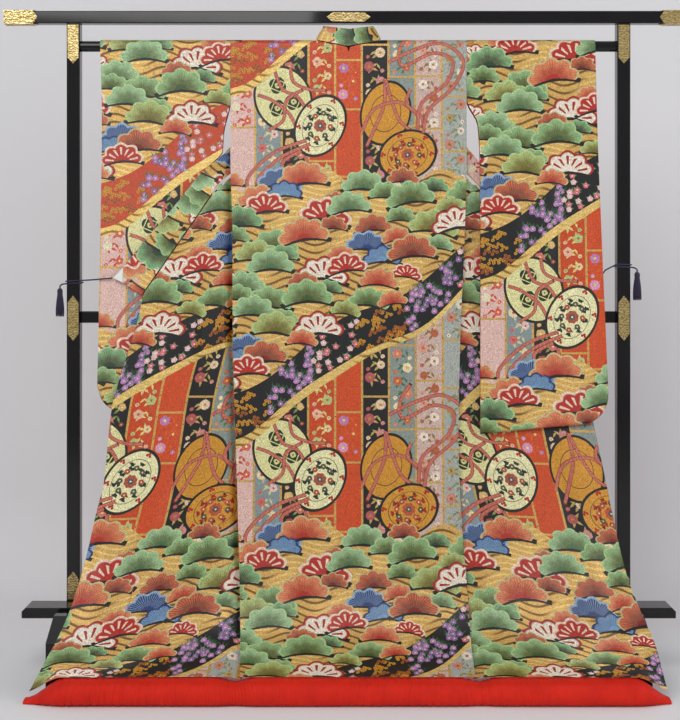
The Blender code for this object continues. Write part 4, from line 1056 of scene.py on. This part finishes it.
# Cloud pines, row over row down the cloth, each over its arched twig with a comb of dark needles.
PINES = {
    "green": (CLOUD, 0x58743A, 0x98BC8C), "olive": (CLOUD, 0x83802F, 0xB4C283), "mint": (CLOUD, 0x668A60, 0xA6C8A0),
    "deep": (CLOUD, 0x2A5C3D, 0x84B389), "blue": (FAN, 0x8FAECB, 0x2B4A82), "navy": (FAN, 0x34558C, 0xA9C0D6),
    "white": (STROKES, 0xEFE6D6, 0xB5392C), "red": (STROKES, 0xC4402C, 0xF0DCC8),
    "coral": (CLOUD, 0xC4452A, 0xE0906A), "wine": (CLOUD, 0x96301F, 0xCC6A4C),
}
SEQUENCE = ("green", "coral", "red", "olive", "wine", "green", "blue", "mint", "white", "deep", "coral", "wine",
            "green", "mint", "coral", "navy", "green", "olive", "white", "wine", "coral", "green", "deep", "red",
            "wine", "mint")
pick = 0
for row, y in enumerate(np.arange(0.415, 1.06, 0.0405)):
    for column in range(-1, 7):
        px = 0.118 * column + 0.059 * (row % 2) + 0.030 * math.sin(1.7 * row + 2.3 * column)
        py = y + 0.014 * math.sin(2.9 * column + 1.3 * row)
        pick += 1
        over_bank = BANK_TOP + BANK_SLOPE * px + 0.020 * math.sin(16 * px) - 0.050
        if py > over_bank or py < 0.375 + 0.02 * math.sin(17 * px):
            continue
        kind, body, rim = PINES[SEQUENCE[(pick * 5 + row * 3) % len(SEQUENCE)]]
        half = 0.058 + 0.016 * math.sin(5.1 * pick)
        tilt = 9 * math.sin(3.7 * pick)
        at = matrix(px, py, half, half * 0.86, tilt)
        arch = np.linspace(-1.0, 1.0, 9)
        figure(at, strip_of(np.column_stack((arch, -0.20 + 0.22 * (1 - arch ** 2))), 0.20), 0x2A1712, 0xC9A250, PLAIN)
        for k in range(8):
            u = -0.91 + 0.26 * k
            leaf(at, 0x2A1712, 0.20, 0.045, 180 + 25 * u, u, -0.18 + 0.22 * (1 - u * u), NEEDLE)
        figure(at, PINE_CLOUD, body, rim, kind, 4.5)

# ---- Body widths -----------------------------------------------------------------------------------
# Each body width runs in one length from the back hem over the bar to the front hem. The backs hang flat
# side by side; each front runs in behind its back, round a fold, and out again through the side slit.
MIDDLE_SEAM = 0.33
BACK_CREASES = ((-0.02, 1.30, -0.03, 0.30, 0.014, 0.0016), (-0.25, 1.25, -0.20, 0.45, 0.020, 0.0022),
                (0.24, 1.10, 0.21, 0.35, 0.018, 0.0020), (0.13, 0.80, 0.16, 0.22, 0.016, -0.0018),
                (-0.12, 0.72, -0.15, 0.18, 0.018, -0.0020), (-0.30, 0.60, -0.26, 0.15, 0.012, 0.0022),
                (0.30, 0.55, 0.27, 0.16, 0.012, 0.0020), (-0.22, 1.62, -0.29, 1.38, 0.014, 0.0014),
                (0.21, 1.60, 0.30, 1.40, 0.013, 0.0015), (0.05, 0.52, 0.07, 0.14, 0.014, 0.0018))
FRONT_CREASES = ((-0.46, 1.20, -0.62, 0.35, 0.016, 0.0024), (-0.40, 1.05, -0.50, 0.30, 0.013, -0.0020),
                 (-0.37, 1.28, -0.41, 0.80, 0.010, 0.0024), (-0.56, 0.70, -0.70, 0.18, 0.018, 0.0026),
                 (-0.48, 0.50, -0.56, 0.16, 0.015, -0.0024), (0.42, 0.66, 0.47, 0.18, 0.014, 0.0024),
                 (0.55, 0.62, 0.66, 0.18, 0.018, 0.0026), (0.38, 0.64, 0.40, 0.20, 0.011, -0.0022),
                 (0.62, 0.60, 0.74, 0.20, 0.013, -0.0020), (0.48, 0.42, 0.54, 0.15, 0.012, 0.0020),
                 (-0.36, 0.62, -0.40, 0.18, 0.012, -0.0022), (-0.52, 0.98, -0.56, 0.72, 0.012, 0.0018))


def back_inner(z):
    """Inner edge of a back: along the middle seam, and swept out at the neck."""
    return SEAM + (NECK_HALF - SEAM) * ramp(z, NECK_Z - 0.004, BAR_Z + SHOULDER_RADIUS)


def back_at(side, q, s):
    """Back of a body width, with soft upright folds low down and listed creases."""
    k = (side + 1) // 2
    z = cloth_height(s)
    inner = back_inner(z)
    u = (q - inner) / (curve(SIDE_EDGE[k], z) - inner)
    fold = 0.0045 * np.sin(2 * math.pi * (1.5 * u + 0.15 * side)) * ramp(z, 1.3, 0.3) * ramp(z, 0.06, 0.2)
    held = np.clip(np.sin(math.pi * np.clip(u, 0, 1)), 0, 1)
    depth = (fold + creases(BACK_CREASES, side * q, z)) * held
    groove = 0.0020 * np.exp(-((q - inner) / 0.0045) ** 2)
    return place(side, q, depth + groove - curve(BACK_HALF, z), s)


def overlay(side, q, s):
    """Depth of an outspread front: the left one comes forward over its sleeve, the right one stays behind."""
    k = (side + 1) // 2
    z = cloth_height(s)
    edge = curve(SIDE_EDGE[k], z)
    inside = curve(FRONT_INSIDE, z) + 2 * curve(FOLD_LENGTH, z) / math.pi
    depth = inside + (curve(OUTSPREAD[k], z) - inside) * ramp(q, edge - 0.001, edge + CROSSING)
    fold = 0.005 * np.sin(28.0 * (q - edge) + 0.8) * ramp(q, edge, edge + 0.10)
    crease = creases(FRONT_CREASES, side * q, z) * ramp(q, edge + 0.02, edge + 0.06) * ramp(z, 0.10, 0.16)
    return depth + fold * ramp(z, 0.9, 0.4) * ramp(z, 0.09, 0.2) + crease


TIP_Z = float(cloth_height(SHOULDER_ARC + TIP_ROW * ROW_STEP))
COLLAR_END_Z = float(cloth_height(SHOULDER_ARC + COLLAR_END_ROW * ROW_STEP))


def front_legs(side, s):
    """Way in behind the back, round the fold, and out again, along a row of a front."""
    k = (side + 1) // 2
    z = cloth_height(s)
    tuck = curve(TUCK, z)
    out = np.where(z < TIP_Z + 0.001, curve(PANEL_SEAM[k], z) - curve(SIDE_EDGE[k], z) + tuck, curve(LAPEL, z))
    return tuck, curve(FOLD_LENGTH, z), out


def front_at(side, a, s):
    """Front of a body width, a metres along the cloth from the side seam."""
    k = (side + 1) // 2
    z = cloth_height(s)
    tuck, fold, out = front_legs(side, s)
    turn = np.clip(curve(TURN, z), 1e-4, math.pi)
    leg_in = np.clip(a, 0, tuck)
    radius = fold / turn
    angle = np.clip(a - tuck, 0, fold) / radius
    leg_out = np.maximum(a - tuck - fold, 0)
    q = curve(SIDE_EDGE[k], z) - leg_in - radius * np.sin(angle) - leg_out * np.cos(turn)
    behind_back = CLOTH * 2 + 0.0003 - curve(BACK_HALF, z)
    seam_depth = behind_back + (curve(SLEEVE_FRONT, z) - behind_back) * ramp(z, 1.36, 1.50)
    inside = curve(FRONT_INSIDE, z)
    depth = inside + (seam_depth - inside) * (1 - ramp(leg_in, 0, 0.035))
    depth = depth + radius * (1 - np.cos(angle)) + leg_out * np.sin(turn)
    shift = overlay(side, q, s) - inside - 2 * fold / math.pi
    depth = depth + shift * (leg_out > 0) * ramp(z, 1.60, 1.50)
    return place(side, q, depth, s)


def overlap_at(side, q, s):
    """Overlap width beside the front."""
    return place(side, q, overlay(side, q, s), s)


def overlap_outer(side, s):
    """Outer edge of an overlap: along the collar at its top, then free."""
    k = (side + 1) // 2
    z = cloth_height(s)
    top_q = PANEL_SEAM[k][-1][1] + 0.006
    end_q = OUTER_EDGE[k][-1][1]
    along_collar = top_q + (end_q - top_q) / (TIP_Z - COLLAR_END_Z) * (TIP_Z - z)
    return np.where(z > COLLAR_END_Z, along_collar, curve(OUTER_EDGE[k], z))


down_marks = np.concatenate((np.linspace(0, 0.018, 7), np.linspace(0.025, 0.93, 104), np.linspace(0.937, 1, 11)))
across_marks = np.linspace(0, 1, 29)
fold_marks = np.concatenate((np.linspace(0, 0.25, 11), np.linspace(0.25, 0.5, 9)[1:], np.linspace(0.5, 1, 25)[1:]))
for name, side in (("left", -1), ("right", 1)):
    k = (side + 1) // 2

    def back_chart(u, v, side=side, k=k):
        """Cloth coordinates of a back."""
        s = v * CLOTH_LENGTH
        inner = back_inner(cloth_height(s))
        return MIDDLE_SEAM + side * (inner + u * (curve(SIDE_EDGE[k], cloth_height(s)) - inner)), s

    def back_surface(x, y, side=side):
        """Places of a back."""
        return back_at(side, side * (x - MIDDLE_SEAM), y)

    def front_chart(u, v, side=side):
        """Cloth coordinates of a front, whose outer seam is a straight thread."""
        s = v * CLOTH_LENGTH
        tuck, fold, out = front_legs(side, s)
        a = tuck * np.clip(4 * u, 0, 1) + fold * np.clip(4 * u - 1, 0, 1) + out * np.clip(2 * u - 1, 0, 1)
        return MIDDLE_SEAM - side * (tuck + fold + out - a), s

    def front_surface(x, y, side=side):
        """Places of a front."""
        return front_at(side, sum(front_legs(side, y)) + side * (x - MIDDLE_SEAM), y)

    def overlap_chart(u, v, side=side, k=k):
        """Cloth coordinates of an overlap width."""
        s = SHOULDER_ARC + ROW_STEP * TIP_ROW + v * (CLOTH_LENGTH - SHOULDER_ARC - ROW_STEP * TIP_ROW)
        width = overlap_outer(side, s) - curve(PANEL_SEAM[k], cloth_height(s))
        return MIDDLE_SEAM + side * (SEAM + u * (width - SEAM)), s

    def overlap_surface(x, y, side=side, k=k):
        """Places of an overlap width."""
        return overlap_at(side, curve(PANEL_SEAM[k], cloth_height(y)) + side * (x - MIDDLE_SEAM), y)

    for part, chart, surface, columns in (("back", back_chart, back_surface, across_marks),
                                          ("front", front_chart, front_surface, fold_marks),
                                          ("overlap", overlap_chart, overlap_surface, across_marks[::2])):
        rows = down_marks if part != "overlap" else np.linspace(0, 1, 80)
        nodes = (f"overlap_{name}",) if part == "overlap" else (f"body_{name}",)
        dressed(f"{part}_{name}", chart, surface, rows, columns, -1, nodes, red_above=-0.5)

# ---- Sleeves ---------------------------------------------------------------------------------------
# Deep hanging sleeves over the bar, rounded at the wrist corner, open at the cuff. Each is one bag of
# brocade: a back and a front layer that round into each other at the foot.
SLEEVE_CREASES = ((-0.40, 1.46, -0.55, 0.80, 0.020, 0.0022), (-0.60, 1.62, -0.52, 1.20, 0.016, -0.0018),
                  (-0.47, 1.10, -0.44, 0.76, 0.014, 0.0020), (-0.62, 1.20, -0.64, 0.82, 0.013, 0.0016),
                  (0.42, 1.50, 0.52, 0.85, 0.018, 0.0022), (0.60, 1.55, 0.56, 1.05, 0.015, -0.0020),
                  (0.50, 1.00, 0.47, 0.72, 0.014, 0.0020), (0.65, 1.30, 0.66, 0.80, 0.012, 0.0016),
                  (0.38, 1.20, 0.41, 0.74, 0.012, -0.0014))
SLEEVE_NODES = {"back": ("sleeve_back", "sleeve_top"), "front": ("sleeve_front_upper", "sleeve_front_lower")}


def sleeve_bottom(side, c):
    """Way down to the foot, c from the body (0) to the wrist (1), where a quarter circle takes off the corner."""
    k = (side + 1) // 2
    low_in, low_out = SLEEVE_BOTTOM[k]
    round_from = 1 - SLEEVE_CORNER / 0.35
    corner = np.clip((c - round_from) / (1 - round_from), 0, 1)
    return way_down(low_in + (low_out - low_in) * c + SLEEVE_CORNER * (1 - np.sqrt(1 - corner * corner)) + 0.001)


def sleeve_at(side, layer, q, s):
    """One layer of a sleeve: its depth shrinks to nothing round the foot as a quarter ellipse."""
    k = (side + 1) // 2
    z = cloth_height(s)
    low = curve(SLEEVE_INNER[k], z)
    c = np.clip((q - low) / (curve(SLEEVE_OUTER[k], z) - low), 0, 1)
    near = np.clip((s - sleeve_bottom(side, c)) / 0.007 + 1, 0, 1)
    back, front = -curve(BACK_HALF, z), curve(SLEEVE_FRONT, z)
    middle = (back + front) / 2
    crease = creases(SLEEVE_CREASES, side * q, z) * ramp(c, 0, 0.15) * ramp(c, 1, 0.9) * (1 - near)
    own = (back if layer == "back" else front) + crease * (1 if layer == "back" else 0.5)
    return place(side, q, middle + (own - middle) * np.sqrt(1 - near * near), s)


wrist_marks = np.concatenate((np.linspace(0, 0.78, 20), 1 - 0.21 * np.cos(np.linspace(0, math.pi / 2, 14)) ** 1.6))
bag_marks = np.concatenate((np.linspace(0, 0.03, 8), np.linspace(0.045, 0.99, 70), np.linspace(0.993, 1, 6)))
for name, side, offset, shift, red_above in (("left", -1, 0.678, 0.58, 0.0), ("right", 1, -0.355, 0.44, -9.0)):
    k = (side + 1) // 2
    for layer, sign in (("back", -1), ("front", 1)):

        def sleeve_chart(u, v, side=side, k=k, offset=offset):
            """Cloth coordinates of a sleeve layer."""
            s = v * sleeve_bottom(side, u)
            low = curve(SLEEVE_INNER[k], cloth_height(s))
            return side * (low + u * (curve(SLEEVE_OUTER[k], cloth_height(s)) - low)) + offset, s

        def sleeve_surface(x, y, side=side, layer=layer, offset=offset):
            """Places of a sleeve layer."""
            return sleeve_at(side, layer, side * (x - offset), y)

        dressed(f"sleeve_{layer}_{name}", sleeve_chart, sleeve_surface, bag_marks, wrist_marks, sign,
                [f"{node}_{name}" for node in SLEEVE_NODES[layer]], shift, red_above)

# ---- Collar ----------------------------------------------------------------------------------------
# Long folded collar: held out at both corners, through the slits, up behind the back and round the neck.
COLLAR_FOLD = 0.0026
COLLAR_SLANT = (0.845, 0.535)


def collar_half(side):
    """Rows across half the collar, from its held end to the middle of the back neck."""
    steps = np.linspace(0, 1, 4)
    low = SHOULDER_ARC + ROW_STEP * np.arange(COLLAR_END_ROW, TIP_ROW - 1, -1.0)
    high = SHOULDER_ARC + ROW_STEP * np.arange(4.5, 0.9, -0.5)
    shoulder = SHOULDER_ARC * np.array((1.0, 0.8, 0.6, 0.3))
    shoulder = np.concatenate(((SHOULDER_ARC + 0.040, SHOULDER_ARC + 0.008), shoulder))
    upper = np.concatenate((high, shoulder))
    neck_z = np.array((BAR_Z + SHOULDER_RADIUS - 0.0004, 1.731, 1.7255, 1.719, NECK_Z))
    drop = np.clip((neck_z - BAR_Z) / SHOULDER_RADIUS, -1, 1)
    neck_s = np.where(drop > 0, SHOULDER_RADIUS * np.arccos(drop), way_down(neck_z))
    seam = np.concatenate((overlap_at(side, overlap_outer(side, low), low),
                           front_at(side, sum(front_legs(side, upper)), upper),
                           back_at(side, back_inner(cloth_height(neck_s)), neck_s) + (0.0, -0.0026, 0.0030)))
    along = headings(seam)
    last = len(seam) - 1
    on_neck = np.arange(len(seam)) > last - len(neck_z)
    turn = np.clip(curve(TURN, seam[:, 2]), 0, math.pi)
    stand = np.where(on_neck, 1.0, ramp(seam[:, 2], 1.66, 1.73))[:, None]
    beside = np.abs(seam[:, 0]) / NECK_HALF
    free = np.stack((-side * np.cos(turn), np.sin(turn), 0 * turn), axis=1)
    upright = np.stack((-0.45 * side * beside, 0.3 + 0 * beside, 1.0 - 0.3 * beside), axis=1)
    lead = free * (1 - stand) + upright * stand
    lead -= (lead * along).sum(axis=1, keepdims=True) * along
    for _ in range(6):
        lead /= np.linalg.norm(lead, axis=1, keepdims=True)
        lead[1:-1] = (lead[:-2] + 2 * lead[1:-1] + lead[2:]) / 4
    lead /= np.linalg.norm(lead, axis=1, keepdims=True)
    flat = len(low) + len(high) - 3
    way = np.concatenate((low, high))
    place_in_half = np.arange(last + 1) / last
    width = curve(((0.0, 0.090), (0.25, 0.052), (0.5, 0.046), (0.8, 0.044), (1.0, 0.052)), place_in_half)
    rows = []
    for i, point in enumerate(seam):
        start = 0.0035 if i < flat else 0.0045 * (1 - on_neck[i])
        across = start + steps * (width[i] - start)
        if i < flat:
            out = np.concatenate(((0.0,), across))
            q = side * point[0] + COLLAR_SLANT[0] * out
            s = way[i] - COLLAR_SLANT[1] * out
            row = place(side, q, overlay(side, q, s), s)
            rows.append(row[1:] + point - row[0])
        else:
            rows.append(point + lead[i] * across[:, None])
    return np.array(rows)


def spline(points, at):
    """Catmull-Rom curve through rows of points, at row numbers that may lie between them."""
    last = len(points) - 1
    i = np.clip(np.floor(at).astype(int), 0, last - 1)
    t = (at - i).reshape((-1,) + (1,) * (points.ndim - 1))
    a, b, c, d = (points[np.clip(i + k, 0, last)] for k in (-1, 0, 1, 2))
    return b + 0.5 * t * (c - a + t * (2 * a - 5 * b + 4 * c - d + t * (3 * (b - c) + d - a)))


collar_rows = np.concatenate((collar_half(-1), collar_half(1)[-2::-1]))
collar_fine = spline(collar_rows, np.linspace(0, len(collar_rows) - 1, 4 * (len(collar_rows) - 1) + 1))
collar_way = distances(collar_fine.mean(axis=1))
collar_wide = np.linalg.norm(collar_fine[:, -1] - collar_fine[:, 0], axis=1)


def collar_chart(u, v):
    """Cloth coordinates of the collar: x across it, y along it."""
    y = v * collar_way[-1]
    return u * np.interp(y, collar_way, collar_wide), y


def collar_surface(x, y):
    """Places of the collar's outer face: between its rows and across each one."""
    at = np.interp(y, collar_way, np.arange(len(collar_way)))
    i = np.clip(at.astype(int), 0, len(collar_fine) - 2)
    t = (at - i)[:, None, None]
    row = collar_fine[i] * (1 - t) + collar_fine[i + 1] * t
    u = np.clip(x / np.interp(y, collar_way, collar_wide), 0, 1) * 3
    j = np.clip(u.astype(int), 0, 2)
    k = np.arange(len(row))
    w = (u - j)[:, None]
    return row[k, j] * (1 - w) + row[k, j + 1] * w


collar_marks = np.linspace(0, 1, 7)
collar_downs = np.linspace(0, 1, 180)
for name, sign, lift in (("silk_collar_out", 1, COLLAR_FOLD), ("silk_collar_in", -1, 0.0)):
    face = put_brocade(name, collar_chart, collar_surface, collar_downs, collar_marks, sign, 0.4, lift)
    hung(face, "brocade", collar_chart, collar_downs, collar_marks, "collar")
edging = silk("gilt_edging", (0.28, 0.16, 0.045), (0.50, 0.33, 0.12), 0.40, 900.0, 0.3)
fold = put_backing("silk_collar_fold", collar_chart, collar_surface, collar_downs, collar_marks, -1, COLLAR_FOLD,
                   edging, whole=False)
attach(fold, "root")
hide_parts("collar")

# ---- Wadded hem --------------------------------------------------------------------------------------
# Thick roll of red silk over wadding, gathered finely all along, pulled in where the side seams run into
# it and drawn to a flat point at each front corner.
HEM_RIGHT = 0.816
HEM_FRONT = -0.372
ROLL_TOP = 0.0625
ROLL_HALF_DEPTH = 0.050
ROLL_ACROSS = 900
ROLL_AROUND = 44


def gathers(x, a):
    """Depth of the hem's gathers: uneven ridges along x that drift with the angle a round the roll."""
    way = x + 0.0035 * np.sin(2 * a + 8 * x) + 0.0022 * np.sin(61 * x) + 0.003 * np.sin(23 * x + 1)
    fine = 0.5 + 0.5 * np.sin(2 * math.pi * way / 0.0082)
    wide = 0.5 + 0.5 * np.sin(2 * math.pi * way / 0.0205 + 1.2 * np.sin(17 * x))
    strength = 0.45 + 0.35 * np.sin(29 * x + 0.6) * np.sin(11 * x + 2) + 0.20 * np.sin(a + 5 * x)
    return 0.0020 * strength * fine ** 1.5 + 0.0022 * wide * (0.4 + 0.3 * np.sin(7 * x))


def hem_at(x, a):
    """Surface of the roll: a superellipse, cosine and sine to the power 0.75, squashed flat on the floor."""
    q = np.abs(x)
    full = 1 - 0.86 * ramp(q, TIP_START - 0.02, HEM_LEFT) ** 1.3
    pull = 0.15 * np.exp(-((x + 0.290) / 0.030) ** 2) + 0.15 * np.exp(-((x - 0.330) / 0.030) ** 2)
    height = ROLL_TOP * full * (1 - pull)
    depth = ROLL_HALF_DEPTH * (0.35 + 0.65 * full) * (1 - pull)
    middle = HEM_FRONT + ROLL_HALF_DEPTH + 0.010 * ramp(q, TIP_START, HEM_LEFT)
    across = np.sign(np.cos(a)) * np.abs(np.cos(a)) ** 0.75
    up = np.sign(np.sin(a)) * np.abs(np.sin(a)) ** 0.75
    seam = 0.0035 * np.exp(-((a - 1.95) / 0.055) ** 2)
    shrink = 1 - (gathers(x, a) * full + seam) / (height / 2 + 0.004)
    z = height / 2 + (height / 2 + 0.0012) * up * shrink - 0.0012
    return np.stack((x, BAR_Y + middle + depth * across * shrink, np.maximum(z, 0.0)), axis=-1)


padded_silk = silk("padded_silk", (0.56, 0.011, 0.004), (0.82, 0.024, 0.008), 0.60, 520.0, 0.35, 0.0)
padded_silk.node_tree.nodes["Principled BSDF"].inputs["Specular IOR Level"].default_value = 0.2
round_roll = np.linspace(0, 2 * math.pi, ROLL_AROUND + 1)[:-1]
along, turn = np.meshgrid(np.linspace(-HEM_LEFT, HEM_RIGHT, ROLL_ACROSS), round_roll, indexing="ij")
roll_faces = [tuple(face) for face in grid_faces(ROLL_ACROSS, ROLL_AROUND, around=True)]
last_ring = (ROLL_ACROSS - 1) * ROLL_AROUND
roll_faces += [tuple(range(ROLL_AROUND - 1, -1, -1)), tuple(range(last_ring, last_ring + ROLL_AROUND))]
hem = put_mesh("silk_hem", hem_at(along, turn).reshape(-1, 3), roll_faces, padded_silk)
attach(hem, "root")
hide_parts("hem_roll")

# ---- Paper wraps -------------------------------------------------------------------------------------
# White paper folded over each held corner of the collar, so that the tie doesn't mark the silk.
WRAP_ROWS = 9


def put_wrap(name, side, material):
    """Paper triangle over the collar's corner: a sheet in front and one behind, folded along the corner's edges."""
    half = collar_half(side)
    corner = half[0, -1]
    along_end, along_edge = corner * 0.1 + half[0, -2] * 0.9, corner * 0.6 + half[1, -1] * 0.4
    normal = np.cross(along_end - corner, along_edge - corner)
    normal *= math.copysign(1.0, -normal[1]) / np.linalg.norm(normal)
    tip = corner + (corner - (along_end + along_edge) / 2) * 0.16
    share = np.linspace(0, 1, WRAP_ROWS)
    spread, down = np.meshgrid(share, share)
    across = (1 - spread[..., None]) * (along_end - tip) + spread[..., None] * (along_edge - tip)
    flat = tip + down[..., None] * across
    bulge = 0.0010 * np.sin(math.pi * spread) * np.sin(math.pi * down) + 0.0004 * np.sin(9 * spread + 2) * down
    lower = flat + normal * (0.0008 + 0.0008 * (1 - down[..., None]))
    upper = lower + normal * (0.0007 + bulge[..., None])
    count = WRAP_ROWS * WRAP_ROWS
    sheet = grid_faces(WRAP_ROWS, WRAP_ROWS)
    cells = np.arange(count).reshape(WRAP_ROWS, WRAP_ROWS)
    rim = np.concatenate((cells[0, :-1], cells[:-1, -1], cells[-1, :0:-1], cells[:0:-1, 0]))
    ahead = np.roll(rim, -1)
    faces = [tuple(face) for face in sheet[:, ::-1]] + [tuple(face + count) for face in sheet]
    faces += [tuple(face) for face in np.stack((rim, rim + count, ahead + count, ahead), axis=1)]
    return put_mesh(name, np.concatenate((lower.reshape(-1, 3), upper.reshape(-1, 3))), faces, material)


paper = silk("wrap_paper", (0.70, 0.70, 0.68), (0.86, 0.86, 0.85), 0.85, 60.0, 0.15)
for name, side in (("left", -1), ("right", 1)):
    wrap = put_wrap(f"paper_wrap_{name}", side, paper)
    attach(wrap, "root")
    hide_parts(f"wrap_{name}")

# ---- Lacquered stand ---------------------------------------------------------------------------------
# Hardwood members under black lacquer, polished by hand, so their faces mirror softly and their edges
# catch a thin line of light.
STAND = ("top_beam", "hanging_bar", "middle_rail", "low_rail", "post_left", "post_right", "foot_left", "foot_right")
lacquer, shader = principled("black_lacquer", (0.006, 0.006, 0.007), 0.14)
nodes = lacquer.node_tree.nodes
place_node = nodes.new("ShaderNodeTexCoord")
cloudy = nodes.new("ShaderNodeTexNoise")
cloudy.inputs["Scale"].default_value = 9.0
cloudy.inputs["Detail"].default_value = 4.0
linked(nodes, place_node.outputs["Object"], cloudy.inputs["Vector"])
linked(nodes, value_node(nodes, "MULTIPLY_ADD", cloudy.outputs["Fac"], 0.05, 0.04), shader.inputs["Roughness"])
black = mix_node(nodes, cloudy.outputs["Fac"], (0.004, 0.004, 0.005), (0.010, 0.009, 0.009))
linked(nodes, black, shader.inputs["Base Color"])
soft_edge = nodes.new("ShaderNodeBevel")
soft_edge.samples = 4
soft_edge.inputs["Radius"].default_value = 0.0016
linked(nodes, soft_edge.outputs["Normal"], shader.inputs["Normal"])
shader.inputs["Specular IOR Level"].default_value = 0.34
for name in STAND:
    for slot in bpy.data.objects[name].material_slots:
        slot.material = lacquer

# ---- Chased brass ------------------------------------------------------------------------------------
# Gilt brass plates and beam caps with a chased ground: scrolling stems over fine punch marks, and a plain
# rim that the polishing keeps bright.
brass, shader = principled("chased_brass", (0.72, 0.50, 0.17), 0.34, 1.0)
nodes = brass.node_tree.nodes
place_node = nodes.new("ShaderNodeTexCoord")
stems = nodes.new("ShaderNodeTexWave")
stems.wave_type = "RINGS"
stems.inputs["Scale"].default_value = 46.0
stems.inputs["Distortion"].default_value = 9.0
stems.inputs["Detail Scale"].default_value = 3.0
punched = nodes.new("ShaderNodeTexVoronoi")
punched.inputs["Scale"].default_value = 720.0
for node in (stems, punched):
    linked(nodes, place_node.outputs["Object"], node.inputs["Vector"])
stem = step_node(nodes, stems.outputs["Fac"], 0.45, 0.62)
ground = value_node(nodes, "MULTIPLY", value_node(nodes, "SUBTRACT", 1.0, stem), punched.outputs["Distance"])
relief = nodes.new("ShaderNodeBump")
relief.inputs["Strength"].default_value = 0.8
relief.inputs["Distance"].default_value = 0.0005
linked(nodes, value_node(nodes, "MULTIPLY_ADD", ground, -0.9, stem), relief.inputs["Height"])
linked(nodes, relief.outputs["Normal"], shader.inputs["Normal"])
linked(nodes, mix_node(nodes, stem, (0.30, 0.21, 0.07), (0.74, 0.58, 0.28)), shader.inputs["Base Color"])
linked(nodes, value_node(nodes, "MULTIPLY_ADD", stem, -0.16, 0.46), shader.inputs["Roughness"])
for thing in bpy.data.objects:
    if thing.name.startswith(("plate_", "beam_plate_", "beam_cap_")):
        for slot in thing.material_slots:
            slot.material = brass
